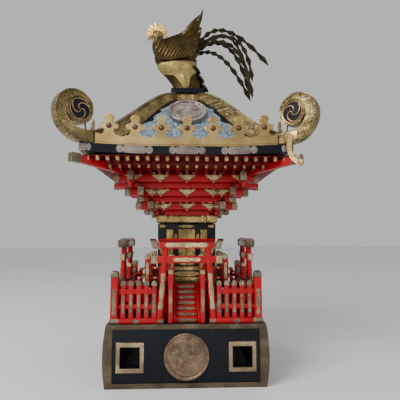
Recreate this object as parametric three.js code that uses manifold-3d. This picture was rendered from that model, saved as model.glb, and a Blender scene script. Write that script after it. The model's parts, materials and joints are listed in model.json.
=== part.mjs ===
// A carried festival shrine: a black lacquered base with pole channels, a red fence with four gates, a
// small sanctuary under stepped brackets, and a hipped roof with curled ridges and a bronze phoenix on top.
// Millimetres, +Z up, the front faces -Y, the origin lies under the centre of the base.
import * as THREE from "three";
import { mergeVertices } from "three/addons/utils/BufferGeometryUtils.js";
import Module from "manifold-3d";

const wasm = await Module();
wasm.setup();

const GAP = 0.3; // clearance between pieces that touch

// Base box
const BASE_HALF = 220; // half width at the top and bottom edges
const BASE_BULGE = 6.5; // how far the walls swell outwards at mid height
const BASE_HEIGHT = 170;
const BOARD = 20; // thickness of the four wall boards
const DECK = 12; // thickness of the deck board
const EDGING = 2; // thickness of the metal edging
const EDGING_WIDTH = 17; // width of the edging at the corners
const EDGING_OPEN = [14, 158]; // heights between which the edging leaves the walls bare
const POLE_HOLE = { x: 154, z: 84, width: 54, height: 56 };
const POLE_FRAME = { width: 76, height: 80, proud: 4 };
const CREST_RADIUS = 62;
const CREST_PROUD = 6;
const CREST_Z = 86;

// Fence and gates
const FENCE = 203; // distance of the fence line from the centre
const POST = 22; // width of a corner post
const POST_TOP = 315;
const SILL = { height: 13, depth: 22, end: 64 };
const PICKET = { width: 12.6, depth: 9, pitch: 21.7, count: 5, top: 286 };
const RAIL = { depth: 5, low: 250, high: 264 };
const GATE = { foot: 75.4, head: 61, radius: 9.7, under: 377, peak: 406 };
const GATE_TOP_BEAM = { bottomHalf: 97, topHalf: 108, depth: 26, shoulder: 399 };
const GATE_TIE_BEAM = { half: 101, low: 336, high: 356, depth: 21 };

// Steps and veranda
const STEPS = 7;
const STEP_HALF = 36.9; // half width between the newel posts
const NEWEL = { x: 45.5, y: 203, width: 16.5, top: 291 };
const HANDRAIL = { footTop: 270, headTop: 318, height: 8, width: 6 };
const VERANDA = { half: 128, low: 257, high: 268 };
const RAILING = { line: 120, gate: 45, post: 17, top: 357, rails: [288, 318], height: 8, width: 6 };
const PODIUM_HALF = 92;

// Sanctuary
const WALL_HALF = 92;
const WALL = 12;
const WALL_TOP = 451;
const PANEL_DEPTH = 3;
const DOORWAY = { half: 26.5, low: 320, high: 434 };
const DOOR_THICKNESS = 5;
const HINGE = { x: 26, y: -93.8, radius: 1.8, height: 12, levels: [340, 402] };
const HEAD_BEAM = { half: 95, capHalf: 98, capWidth: 34, low: 451, high: 483 };

// Bracket tiers, from the lowest up: a slim bearer below a deep beam, each pair stepping outwards
const TIERS = [
  { name: "lower", bearer: 100, beam: { line: 117, half: 160, low: 495, high: 517 }, arms: [] },
  { name: "middle", bearer: 130, beam: { line: 145, half: 190, low: 535, high: 559 }, arms: [] },
  {
    name: "upper",
    bearer: 158,
    beam: { line: 172, half: 219, low: 575, high: 600 },
    arms: [-160, -80, 0, 80, 160],
  },
];
const BEAM_DEPTH = 16;
const ARM = { top: 54, foot: 24, proud: 7 };

// Eaves and roof
const EAVE = 289; // half width of the roof's edge board
const UPTURN = 8; // rise of the eaves at the corners
const RAFTER = { width: 9, pitch: 27.1, perSide: 9, low: 618, high: 631, start: 236, tip: 278 };
const SOFFIT = { low: 600.5, middle: 613, half: 240, inner: 150 };
const HIP = { width: 20, low: 611, tip: 307 };
const EAVE_BOARD = { low: 632.3, high: 656 };
const ROOF_HALF = 270;
const ROOF_EDGE = 6;
const ROOF_TOP = { half: 46, z: 878 };
const ROOF_CREST = { radius: 61, thickness: 9, y: -130, z: 810, slope: 52 };
const CREST_BAND = { line: 275, half: 252, thickness: 4, valley: 686, pitch: 71.7, height: 59 };
const RIDGE_WIDTH = 26;
const RIDGE_ROOT = 16; // depth to which a ridge reaches below the hip before the roof trims it
const CURL_LEAD = 0.35; // how far before the disc's underside the curl begins, in radians
const SCROLL = { centre: 416, z: 750, disc: 38 };
const APEX = { boxHalf: 44, slabHalf: 56, slabLow: 901, slabHigh: 919 };

// Turns a closed geometry into a solid that can be joined and cut.
function solid(geometry) {
  const bare = geometry.index ? geometry.toNonIndexed() : geometry.clone();
  bare.deleteAttribute("normal");
  bare.deleteAttribute("uv");
  const merged = mergeVertices(bare, 1e-3);
  const vertProperties = merged.attributes.position.array;
  const triVerts = new Uint32Array(merged.index.array);
  return new wasm.Manifold(new wasm.Mesh({ numProp: 3, vertProperties, triVerts }));
}

function geometryOf(body) {
  const mesh = body.getMesh();
  const geometry = new THREE.BufferGeometry();
  geometry.setAttribute("position", new THREE.BufferAttribute(new Float32Array(mesh.vertProperties), 3));
  geometry.setIndex(new THREE.BufferAttribute(new Uint32Array(mesh.triVerts), 1));
  return geometry;
}

const joined = (geometries) => geometries.map(solid).reduce((all, next) => all.add(next));

function box(x0, x1, y0, y1, z0, z1) {
  const geometry = new THREE.BoxGeometry(x1 - x0, y1 - y0, z1 - z0);
  return geometry.translate((x0 + x1) / 2, (y0 + y1) / 2, (z0 + z1) / 2);
}

function extruded(points, depth) {
  const shape = new THREE.Shape(points.map(([a, b]) => new THREE.Vector2(a, b)));
  return new THREE.ExtrudeGeometry(shape, { depth, bevelEnabled: false });
}

// An outline in x and z, standing upright, from the plane y0 back to y1.
const upright = (points, y0, y1) => extruded(points, y1 - y0).rotateX(Math.PI / 2).translate(0, y1, 0);

// An outline in y and z, from the plane x0 across to x1.
const crosswise = (points, x0, x1) =>
  extruded(points, x1 - x0).rotateX(Math.PI / 2).rotateZ(Math.PI / 2).translate(x0, 0, 0);

// An outline in x and y, from the level z0 up to z1.
const level = (points, z0, z1) => extruded(points, z1 - z0).translate(0, 0, z0);

// Turns a half-width profile into a square body: a lathe whose circles are pushed out to squares.
function squared(profile, perSide, lift = () => 0) {
  const points = profile.map(([half, z]) => new THREE.Vector2(half, z));
  const lathe = new THREE.LatheGeometry(points, 4 * perSide, Math.PI / 4);
  lathe.rotateX(Math.PI / 2);
  const position = lathe.attributes.position;
  for (let i = 0; i < position.count; i++) {
    const x = position.getX(i);
    const y = position.getY(i);
    const half = Math.hypot(x, y);
    if (half < 1e-6) continue;
    const stretch = half / Math.max(Math.abs(x), Math.abs(y));
    const along = Math.min(Math.abs(x), Math.abs(y)) / Math.max(Math.abs(x), Math.abs(y));
    position.setXYZ(i, x * stretch, y * stretch, position.getZ(i) + lift(half, along));
  }
  return lathe;
}

// Skins a row of closed rings of equal length, and closes both ends.
function lofted(rings) {
  const count = rings[0].length;
  const points = rings.flat();
  const faces = [];
  for (let ring = 0; ring + 1 < rings.length; ring++) {
    for (let i = 0; i < count; i++) {
      const a = ring * count + i;
      const b = ring * count + ((i + 1) % count);
      faces.push(a, b, b + count, a, b + count, a + count);
    }
  }
  for (let i = 1; i + 1 < count; i++) {
    const last = (rings.length - 1) * count;
    faces.push(0, i + 1, i, last, last + i, last + i + 1);
  }
  const geometry = new THREE.BufferGeometry().setFromPoints(points);
  geometry.setIndex(faces);
  return geometry;
}

const sampled = (curve, steps) => curve.getPoints(steps).map((p) => [p.x, p.y]);
const bezier = (...points) => new THREE.CubicBezierCurve(...points.map(([a, b]) => new THREE.Vector2(a, b)));
const mirrored = (points) => points.map(([a, b]) => [-a, b]).reverse();

const material = (color, roughness, metalness) => new THREE.MeshStandardMaterial({ color, roughness, metalness });
const BLACK_LACQUER = material(0x14151a, 0.3, 0);
const RED_LACQUER = material(0xc4102a, 0.4, 0);
const GOLD = material(0xc9a24a, 0.35, 1);
const OLD_BRONZE = material(0x6f6350, 0.45, 1);
const DARK_BRONZE = material(0x4a3a1c, 0.4, 1);

const shrine = new THREE.Group();

function add(name, finish, body, parent = shrine) {
  const mesh = new THREE.Mesh(geometryOf(body), finish);
  mesh.name = name;
  parent.add(mesh);
  return mesh;
}

// The four sides, each a group turned so that its own front faces outwards.
const SIDES = ["front", "right", "back", "left"].map((name, i) => {
  const group = new THREE.Group();
  group.rotation.z = (i * Math.PI) / 2;
  shrine.add(group);
  return { name, group };
});
const CORNERS = ["front_right", "back_right", "back_left", "front_left"];

// ---- Base: four mitred boards with swelling faces, a deck, metal edging, pole hole frames and crests

const WALL_STEPS = 4; // flat strips that make up a wall's curve
const bulge = (z) => BASE_BULGE * (1 - ((2 * z) / BASE_HEIGHT - 1) ** 2);

// The curve of the walls from the floor up, shifted outwards.
function wallCurve(shift) {
  const curve = [];
  for (let i = 0; i <= WALL_STEPS; i++) {
    const z = (BASE_HEIGHT * i) / WALL_STEPS;
    curve.push([BASE_HALF + bulge(z) + shift, z]);
  }
  return curve;
}

function squaredRing(profile, perSide) {
  return solid(squared([...profile, profile[0]], perSide));
}

function baseWalls() {
  const inner = BASE_HALF - BOARD;
  return squaredRing([...wallCurve(0), [inner, BASE_HEIGHT], [inner, 0]], 1);
}

// The solid just outside which everything on the base's faces lies.
function baseEnvelope(clearance) {
  return solid(squared([[0, 0], ...wallCurve(clearance), [0, BASE_HEIGHT]], 1));
}

function poleHoles() {
  const { x, z, width, height } = POLE_HOLE;
  const reach = 2 * BASE_HALF;
  const [low, high] = [z - height / 2, z + height / 2];
  return joined([-x, x].map((at) => box(at - width / 2, at + width / 2, -reach, reach, low, high)));
}

function baseBoards() {
  const reach = 2 * BASE_HALF;
  const mitred = [[0, -GAP], [-reach, -reach - GAP], [reach, -reach - GAP]];
  const wedge = solid(level(mitred, -1, BASE_HEIGHT - DECK - GAP));
  const plain = baseWalls().intersect(wedge);
  for (const { name, group } of SIDES) {
    const pierced = name === "front" || name === "back";
    add(`base_${name}_board`, BLACK_LACQUER, pierced ? plain.subtract(poleHoles()) : plain, group);
  }
  const half = BASE_HALF - GAP;
  add("base_deck", BLACK_LACQUER, solid(box(-half, half, -half, half, BASE_HEIGHT - DECK, BASE_HEIGHT)));
}

function baseEdging() {
  const outer = wallCurve(GAP + EDGING);
  const inner = wallCurve(GAP).reverse();
  const skin = squaredRing([...outer, ...inner], 1);
  const open = BASE_HALF - EDGING_WIDTH;
  const [bottom, top] = EDGING_OPEN;
  const reach = 2 * BASE_HALF;
  const windows = joined([
    box(-open, open, -reach, reach, bottom, top),
    box(-reach, reach, -open, open, bottom, top),
  ]);
  add("base_metal_edging", OLD_BRONZE, skin.subtract(windows));
}

function poleFrames() {
  const { x, z, width, height } = POLE_HOLE;
  const face = -(BASE_HALF + BASE_BULGE + POLE_FRAME.proud);
  for (const { name, group } of SIDES.filter(({ name }) => name === "front" || name === "back")) {
    for (const [hand, at] of [["left", -x], ["right", x]]) {
      const w = POLE_FRAME.width / 2;
      const h = POLE_FRAME.height / 2;
      const plate = box(at - w, at + w, face, -BASE_HALF, z - h, z + h);
      const hole = box(at - width / 2, at + width / 2, 2 * face, 0, z - height / 2, z + height / 2);
      const frame = solid(plate).subtract(solid(hole)).subtract(baseEnvelope(GAP));
      add(`pole_frame_${name}_${hand}`, GOLD, frame, group);
    }
  }
}

function baseCrests() {
  const face = -(BASE_HALF + BASE_BULGE + CREST_PROUD);
  const disc = new THREE.CylinderGeometry(CREST_RADIUS, CREST_RADIUS, -BASE_HALF - face, 20);
  disc.translate(0, (face - BASE_HALF) / 2, CREST_Z);
  const crest = solid(disc).subtract(baseEnvelope(GAP));
  for (const { name, group } of SIDES) add(`base_crest_${name}`, OLD_BRONZE, crest, group);
}

// ---- Fence: at each corner a post with a picket panel along either side

// A flat bar with a pointed head, as an outline in x and z.
function pointed(x, width, low, high) {
  const r = width / 2;
  return [[x - r, low], [x + r, low], [x + r, high - r], [x, high], [x - r, high - r]];
}

// A square post with a domed head.
function domedPost(x, y, width, low, high) {
  const r = width / 2;
  const profile = [[0, low], [r, low], [r, high - 0.8 * r], [0.5 * r, high], [0, high]];
  return squared(profile, 1).translate(x, y, 0);
}

function fencePanel() {
  const { width, depth, pitch, count, top } = PICKET;
  const floor = BASE_HEIGHT + GAP;
  const sillTop = floor + SILL.height;
  const front = -FENCE - SILL.depth / 2;
  const pieces = [box(-FENCE, -SILL.end, front, front + SILL.depth, floor, sillTop)];
  for (let i = 1; i <= count; i++) {
    const x = -FENCE + 2.5 + i * pitch;
    pieces.push(upright(pointed(x, width, sillTop, top), -FENCE - depth / 2, -FENCE + depth / 2));
  }
  const railFront = -FENCE + depth / 2;
  const railEnd = -GATE.foot - GATE.radius - 1;
  pieces.push(box(-FENCE, railEnd, railFront, railFront + RAIL.depth, RAIL.low, RAIL.high));
  return joined(pieces);
}

function fenceCorners() {
  const panel = fencePanel();
  const swap = new THREE.Matrix4().set(0, 1, 0, 0, 1, 0, 0, 0, 0, 0, 1, 0, 0, 0, 0, 1);
  const other = geometryOf(panel).applyMatrix4(swap);
  const index = other.index.array;
  for (let i = 0; i < index.length; i += 3) [index[i], index[i + 1]] = [index[i + 1], index[i]];
  const [low, high] = [-FENCE - SILL.depth / 2, -FENCE + SILL.depth / 2];
  const foot = box(low, high, low, high, BASE_HEIGHT + GAP, BASE_HEIGHT + SILL.height);
  const post = domedPost(-FENCE, -FENCE, POST, BASE_HEIGHT + SILL.height, POST_TOP);
  const whole = panel.add(solid(other)).add(solid(foot)).add(solid(post));
  const names = ["front_left", "front_right", "back_right", "back_left"];
  SIDES.forEach(({ group }, i) => add(`fence_${names[i]}`, RED_LACQUER, whole, group));
}

// ---- Gates: leaning round columns on the sills, a tie beam and a flared, ridged top beam

function gate() {
  const low = BASE_HEIGHT + 2 * GAP + SILL.height;
  const rise = GATE.under + 5 - low;
  const lean = (GATE.foot - GATE.head) / (GATE.under - low);
  const columns = [-1, 1].map((hand) => {
    const column = new THREE.CylinderGeometry(GATE.radius, GATE.radius, rise, 6).rotateX(Math.PI / 2);
    const shear = new THREE.Matrix4().makeShear(0, 0, 0, 0, -hand * lean, 0);
    column.translate(0, 0, rise / 2).applyMatrix4(shear);
    return column.translate(hand * GATE.foot, -FENCE, low);
  });
  const { bottomHalf, topHalf, depth, shoulder } = GATE_TOP_BEAM;
  const flared = upright(
    [[-bottomHalf, GATE.under], [bottomHalf, GATE.under], [topHalf, GATE.peak], [-topHalf, GATE.peak]],
    -FENCE - depth,
    -FENCE + depth,
  );
  const half = depth / 2;
  const ridged = crosswise(
    [[-half, GATE.under - 1], [half, GATE.under - 1], [half, shoulder], [0, GATE.peak], [-half, shoulder]],
    -2 * topHalf,
    2 * topHalf,
  ).translate(0, -FENCE, 0);
  const tie = GATE_TIE_BEAM;
  const [front, back] = [-FENCE - tie.depth / 2, -FENCE + tie.depth / 2];
  const tieBeam = box(-tie.half, tie.half, front, back, tie.low, tie.high);
  return joined([...columns, tieBeam]).add(solid(flared).intersect(solid(ridged)));
}

function gates() {
  const whole = gate();
  for (const { name, group } of SIDES) add(`gate_${name}`, RED_LACQUER, whole, group);
}

// ---- Steps: on each side a flight between newel posts, with sloping handrails

function flight() {
  const low = BASE_HEIGHT + GAP;
  const foot = -NEWEL.y + 5;
  const top = -VERANDA.half - GAP;
  const rise = (VERANDA.high - low) / STEPS;
  const going = (top - foot) / STEPS;
  const outline = [[top, low], [foot, low]];
  for (let i = 0; i < STEPS; i++) {
    outline.push([foot + i * going, low + (i + 1) * rise]);
    outline.push([foot + (i + 1) * going, low + (i + 1) * rise]);
  }
  const pieces = [crosswise(outline.reverse(), -STEP_HALF - 1, STEP_HALF + 1)];
  const end = -RAILING.line - RAILING.post / 2 - 2 * GAP;
  const { footTop, headTop, height, width } = HANDRAIL;
  for (const hand of [-1, 1]) {
    const x = hand * NEWEL.x;
    pieces.push(domedPost(x, -NEWEL.y, NEWEL.width, low, NEWEL.top));
    const bar = [[-NEWEL.y, footTop - height], [end, headTop - height], [end, headTop], [-NEWEL.y, footTop]];
    pieces.push(crosswise(bar, x - width / 2, x + width / 2));
  }
  return joined(pieces);
}

function flights() {
  const whole = flight();
  for (const { name, group } of SIDES) add(`steps_${name}`, RED_LACQUER, whole, group);
}

// ---- Podium, veranda and its corner railings

function veranda() {
  const [foot, head] = [BASE_HEIGHT + GAP, VERANDA.low - GAP];
  const podium = box(-PODIUM_HALF, PODIUM_HALF, -PODIUM_HALF, PODIUM_HALF, foot, head);
  add("podium", BLACK_LACQUER, solid(podium));
  const { half, low, high } = VERANDA;
  add("veranda_floor", RED_LACQUER, solid(box(-half, half, -half, half, low, high)));
}

// A corner of the railing: a post at the corner and one on either side, where the handrails arrive.
function railingCorners() {
  const { line, gate, post, top, rails, height, width } = RAILING;
  const floor = VERANDA.high + GAP;
  const pieces = [[line, line], [gate, line], [line, gate]].map(([x, y]) => domedPost(-x, -y, post, floor, top));
  const half = width / 2;
  for (const rail of rails) {
    pieces.push(box(-line, -gate, -line - half, -line + half, rail - height, rail));
    pieces.push(box(-line - half, -line + half, -line, -gate, rail - height, rail));
  }
  const corner = joined(pieces);
  const names = ["front_left", "front_right", "back_right", "back_left"];
  SIDES.forEach(({ group }, i) => add(`railing_${names[i]}`, RED_LACQUER, corner, group));
}

// ---- Sanctuary: a hollow box of posts and panels, a pair of hinged doors, and a beam that caps it

function sanctuaryWalls() {
  const low = VERANDA.high + GAP;
  const inner = WALL_HALF - WALL;
  let walls = solid(box(-WALL_HALF, WALL_HALF, -WALL_HALF, WALL_HALF, low, WALL_TOP));
  walls = walls.subtract(solid(box(-inner, inner, -inner, inner, low - 1, WALL_TOP + 1)));
  for (let side = 0; side < 4; side++) {
    const recess = (x0, x1) => {
      const cut = box(x0, x1, -WALL_HALF - 1, -WALL_HALF + PANEL_DEPTH, DOORWAY.low, DOORWAY.high);
      return solid(cut.rotateZ((side * Math.PI) / 2));
    };
    walls = walls.subtract(recess(-66, -43)).subtract(recess(43, 66));
    if (side > 0) walls = walls.subtract(recess(-DOORWAY.half, DOORWAY.half));
  }
  const doorway = box(-DOORWAY.half, DOORWAY.half, -2 * WALL_HALF, 0, DOORWAY.low, DOORWAY.high);
  add("sanctuary_walls", BLACK_LACQUER, walls.subtract(solid(doorway)));
}

function doors() {
  for (const [name, hand] of [["left", -1], ["right", 1]]) {
    const outerEdge = DOORWAY.half - GAP;
    const span = hand < 0 ? [-outerEdge, -GAP / 2] : [GAP / 2, outerEdge];
    const front = -WALL_HALF;
    const pieces = [box(...span, front, front + DOOR_THICKNESS, DOORWAY.low + 0.5, DOORWAY.high - 0.5)];
    for (const z of HINGE.levels) {
      const barrel = new THREE.CylinderGeometry(HINGE.radius, HINGE.radius, HINGE.height, 8);
      pieces.push(barrel.rotateX(Math.PI / 2).translate(hand * HINGE.x, HINGE.y, z));
      const strap = [hand * HINGE.x, hand * (HINGE.x - 9)].sort((a, b) => a - b);
      pieces.push(box(...strap, HINGE.y - 0.4, front + 1, z - HINGE.height / 2, z + HINGE.height / 2));
    }
    add(`door_${name}`, GOLD, joined(pieces));
  }
}

function headBeam() {
  const { half, capHalf, capWidth, low, high } = HEAD_BEAM;
  const base = low + GAP;
  const core = squared([[0, base], [half - 6, base], [half, high], [0, high]], 1);
  const r = capWidth / 2;
  const cap = [[0, base], [r - 7, base], [r, base + 20], [r, high], [0, high]];
  const at = capHalf - r;
  const caps = [[-at, -at], [at, -at], [at, at], [-at, at]].map(([x, y]) => squared(cap, 1).translate(x, y, 0));
  add("head_beam", GOLD, joined([core, ...caps]));
}

// ---- Brackets: crossing beams with boat-shaped arms on their faces, around a stepped core

// A square slab with a beam end running on past it, both ways, at each corner.
function crossedBeams({ line, half }, z0, z1) {
  const inner = line - BEAM_DEPTH;
  const corner = [[-half, -inner], [-half, -line], [-line, -line], [-line, -half], [-inner, -half], [-inner, -line]];
  const outline = [];
  for (let side = 0; side < 4; side++) {
    const turn = (side * Math.PI) / 2;
    const [c, s] = [Math.round(Math.cos(turn)), Math.round(Math.sin(turn))];
    outline.push([-line, -inner], ...corner);
    outline.splice(-7, 7, ...outline.slice(-7).map(([x, y]) => [c * x - s * y, s * x + c * y]));
  }
  return level(outline, z0, z1);
}

function tier({ bearer, beam, arms }, floor) {
  const pieces = [box(-bearer, bearer, -bearer, bearer, floor, beam.low), crossedBeams(beam, beam.low, beam.high)];
  const { top, foot, proud } = ARM;
  const outline = [[-foot / 2, beam.low], [foot / 2, beam.low], [top / 2, beam.high], [-top / 2, beam.high]];
  for (let side = 0; side < 4; side++) {
    for (const x of arms) {
      const arm = upright(outline, -beam.line - proud, -beam.line).translate(x, 0, 0);
      pieces.push(arm.rotateZ((side * Math.PI) / 2));
    }
  }
  return joined(pieces);
}

function brackets() {
  let floor = HEAD_BEAM.high + GAP;
  TIERS.forEach((each) => {
    add(`bracket_tier_${each.name}`, RED_LACQUER, tier(each, floor));
    floor = each.beam.high + GAP;
  });
}

// ---- Eaves: a soffit that steps outwards, rafters with free tips, corner beams, and the black edge board

// The eaves are level along the middle of each side and rise in a straight line to the corners.
const ROOF_STEPS = 4;
const UNDER_EDGE = 262; // half width of the ring where the roof rests on its edge board
const LEVEL_PART = Math.tan(Math.PI / 8);
const risen = (along) => Math.max(0, along - LEVEL_PART) / (1 - LEVEL_PART);
const upturn = (half, along) => UPTURN * (half / EAVE) ** 4 * risen(along);

function rafters() {
  const { width, pitch, perSide, low, high, start, tip } = RAFTER;
  const edge = EAVE - 6;
  const soffit = [[SOFFIT.inner, SOFFIT.low], [SOFFIT.half, SOFFIT.middle], [SOFFIT.half, high], [edge, high]];
  const boards = squared([[0, SOFFIT.low], ...soffit, [edge, high + 1], [0, high + 1]], 1);
  const bars = [];
  const hips = [];
  for (let side = 0; side < 4; side++) {
    const turn = (side * Math.PI) / 2;
    for (let i = -perSide; i <= perSide; i++) {
      const x = i * pitch;
      const root = Math.max(Math.abs(x), start);
      bars.push(box(x - width / 2, x + width / 2, -tip, -root, low, high + 0.5).rotateZ(turn));
    }
    const [hipTip, hipRoot] = [HIP.tip * Math.SQRT2, start * Math.SQRT2];
    const hip = box(-HIP.width / 2, HIP.width / 2, -hipTip, -hipRoot, HIP.low, high + 0.5);
    hips.push(hip.rotateZ(turn + Math.PI / 4));
  }
  add("rafters", RED_LACQUER, joined([boards, ...bars, ...hips]));
}

const eaveSlab = (low, high) => {
  const under = [[0, low], [UNDER_EDGE, low], [EAVE, low]];
  return squared([...under, [EAVE, high], [UNDER_EDGE, high], [0, high]], ROOF_STEPS, upturn);
};

function eaveBoard() {
  add("eave_board", BLACK_LACQUER, solid(eaveSlab(EAVE_BOARD.low, EAVE_BOARD.high)));
}

// ---- Roof: four concave slopes that meet at the hips

const roofFoot = EAVE_BOARD.high + 1;
const slope = bezier([ROOF_TOP.half, ROOF_TOP.z], [104, 866], [165, 700], [ROOF_HALF, roofFoot + ROOF_EDGE]);

function roofSolid(lift) {
  const top = sampled(slope, 7).reverse().map(([half, z]) => [half, z + lift]);
  const under = [[0, roofFoot], [UNDER_EDGE, roofFoot], [ROOF_HALF, roofFoot]];
  const profile = [...under, ...top, [0, ROOF_TOP.z + lift]];
  return solid(squared(profile, ROOF_STEPS, upturn));
}

function roof() {
  add("roof", BLACK_LACQUER, roofSolid(0));
}

// The crests that stand just clear of the slopes, each on a short boss.
function roofCrests(cutter) {
  const { radius, thickness, y, z, slope: tilt } = ROOF_CREST;
  const disc = new THREE.CylinderGeometry(radius, radius, thickness, 16).rotateX(Math.PI / 2);
  const boss = new THREE.CylinderGeometry(18, 18, 16, 6).rotateX(Math.PI / 2).translate(0, 0, -9);
  const placed = [disc, boss].map((piece) => piece.rotateX((tilt * Math.PI) / 180).translate(0, y, z));
  const crest = joined(placed).subtract(cutter);
  for (const { name, group } of SIDES) add(`roof_crest_${name}`, OLD_BRONZE, crest, group);
}

// The upright band along each roof edge, cut into a row of trefoil crosses.
function crestBands() {
  const { line, half, thickness, valley, pitch, height } = CREST_BAND;
  const rise = (x) => upturn(EAVE, Math.abs(x) / line);
  const arm = [[9, 0], [26, 0.42], [10, 1]];
  const bend = LEVEL_PART * line;
  const outline = [half, bend, -bend, -half].map((x) => [x, EAVE_BOARD.high + GAP + rise(x)]);
  outline.push([-half, valley + rise(half)]);
  for (let i = -3; i <= 3; i++) {
    const x = i * pitch;
    const side = arm.map(([dx, t]) => [dx, valley + t * height + rise(x)]);
    for (const [dx, z] of [...side.map(([a, b]) => [-a, b]), ...side.reverse()]) outline.push([x + dx, z]);
  }
  outline.push([half, valley + rise(half)]);
  const band = solid(upright(outline.reverse(), -line, -line + thickness));
  for (const { name, group } of SIDES) add(`crest_band_${name}`, GOLD, band, group);
}

// ---- Corner ridges: a bar along each hip that ends in a curl around a disc

const ridgeTop = bezier([46, 900], [112, 890], [190, 736], [268, 700]);

// Distance of the curl's outer edge from the disc's centre, by the angle turned from straight down.
function curlRadius(turn) {
  return SCROLL.disc + 51 * Math.max(0, 1 - turn / (1.55 * Math.PI)) ** 1.15;
}

// The ridge from the side: along the hip, out round the curl, back under the disc and up the ridge's top.
function ridgeOutline() {
  const { centre, z, disc } = SCROLL;
  const around = (turn, radius) => [centre + radius * Math.sin(turn), z - radius * Math.cos(turn)];
  const hip = sampled(slope, 3).map(([r, height]) => [r * Math.SQRT2, height - RIDGE_ROOT]);
  const top = sampled(ridgeTop, 6).map(([r, height]) => [r * Math.SQRT2, height]);
  const curl = [];
  const curlEnd = 1.6 * Math.PI;
  const steps = 11;
  for (let i = 0; i <= steps; i++) {
    const turn = (i / steps) * curlEnd;
    curl.push(around(turn - CURL_LEAD * (1 - i / steps), curlRadius(turn)));
  }
  const under = [0.2, 0.4, 0.6, 0.8, 1].map((t) => around(curlEnd + t * 0.85 * Math.PI, disc));
  const throat = [1.1, 0.5, -0.1].map((turn) => around(turn, disc + 12 * (1 - turn / 1.5)));
  return [...hip.slice(0, -1), ...curl, ...under, ...throat, ...top.reverse()];
}

function ridgeBody(cutters) {
  const { centre, z, disc } = SCROLL;
  const half = RIDGE_WIDTH / 2;
  const strut = box(centre - 24, centre - 19, -3, 3, z - 58, z - disc + 10);
  const pieces = [upright(ridgeOutline(), -half, half), strut];
  const whole = joined(pieces.map((piece) => piece.rotateZ(-Math.PI / 4)));
  return cutters.reduce((body, cutter) => body.subtract(cutter), whole);
}

function ridges(cutters) {
  const whole = ridgeBody(cutters);
  SIDES.forEach(({ group }, i) => add(`ridge_${CORNERS[i]}`, GOLD, whole, group));
}

// A brass hook that hangs from the front right ridge and curls up at its foot.
function cornerHook() {
  const path = bezier([414, 688], [396, 650], [412, 612], [440, 604]);
  const left = [];
  const right = [];
  const steps = 8;
  for (let i = 0; i <= steps; i++) {
    const t = i / steps;
    const p = path.getPoint(t);
    const n = path.getTangent(t);
    const w = 8.5 - 4 * t;
    left.push([p.x - n.y * w, p.y + n.x * w]);
    right.push([p.x + n.y * w, p.y - n.x * w]);
  }
  const offset = RIDGE_WIDTH / 2 + GAP;
  const strip = upright([...left, ...right.reverse()].reverse(), -offset - 4, -offset);
  add("corner_hook", GOLD, solid(strip.rotateZ(-Math.PI / 4)));
}

// ---- Apex block under the phoenix

function apex() {
  const { boxHalf, slabHalf, slabLow, slabHigh } = APEX;
  const foot = ROOF_TOP.z + GAP;
  const neck = [[0, foot], [boxHalf, foot], [boxHalf, slabLow]];
  const slab = [[slabHalf, slabLow], [slabHalf, slabHigh], [0, slabHigh]];
  add("apex_block", BLACK_LACQUER, solid(squared([...neck, ...slab], 1)));
}

// ---- Phoenix: a body with head and comb, two swept wings and a spray of lozenge feathers

// A level ring of the body: an ellipse from x0 to x1, with the given half width.
function bodyRing([z, x0, x1, half]) {
  const count = 10;
  const ring = [];
  for (let i = 0; i < count; i++) {
    const angle = (2 * Math.PI * i) / count;
    const x = (x0 + x1) / 2 + ((x1 - x0) / 2) * Math.cos(angle);
    ring.push(new THREE.Vector3(x, half * Math.sin(angle), z));
  }
  return ring;
}

function phoenixBody() {
  const foot = APEX.slabHigh + GAP;
  const rings = [
    [foot, -42, 62, 22],
    [foot + 28, -52, 66, 21],
    [foot + 62, -78, 52, 25],
    [foot + 95, -106, 36, 33],
    [foot + 122, -110, 30, 34],
    [foot + 150, -118, 34, 33],
    [foot + 172, -128, 35, 28],
    [foot + 188, -126, -4, 20],
    [foot + 200, -122, -70, 11],
  ].map(bodyRing);
  const head = new THREE.SphereGeometry(1, 8, 5).scale(21, 14, 17).translate(-108, 0, foot + 209);
  const beak = new THREE.ConeGeometry(9, 30, 6).rotateZ(1.95).translate(-131, 0, foot + 200);
  const comb = [];
  const spikes = 5;
  for (let i = 0; i <= 2 * spikes; i++) {
    const angle = -0.1 + (i / (2 * spikes)) * (Math.PI + 0.25);
    const r = i % 2 ? 40 : 31;
    comb.push([-109 + r * Math.cos(angle), foot + 228 + r * Math.sin(angle)]);
  }
  comb.push([-122, foot + 212], [-100, foot + 208]);
  const whole = joined([lofted(rings), head, beak, upright(comb, -2, 2)]);
  add("phoenix_body", DARK_BRONZE, whole);
}

function wingOutline() {
  const lower = [[-122, 1067], [-114, 1044], [-97, 1026], [-58, 1026], [-10, 1031], [31, 1034]];
  const trailing = [[36, 1061], [34, 1080], [46, 1117], [37, 1120], [49, 1134], [41, 1141], [52, 1197]];
  const upper = [[40, 1169], [23, 1145], [-8, 1125], [-48, 1110], [-83, 1098], [-109, 1089], [-122, 1079]];
  return [...lower, ...trailing, ...upper];
}

function phoenixWings() {
  for (const [name, hand] of [["left", -1], ["right", 1]]) {
    const plate = upright(wingOutline(), -2.5, 2.5);
    const position = plate.attributes.position;
    for (let i = 0; i < position.count; i++) {
      const x = position.getX(i);
      const spread = 38 + 10 * ((x + 126) / 180) ** 2 + 12 * Math.max(0, (position.getZ(i) - 1100) / 97);
      position.setY(i, position.getY(i) + hand * spread);
    }
    add(`phoenix_wing_${name}`, DARK_BRONZE, solid(plate));
  }
}

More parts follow.
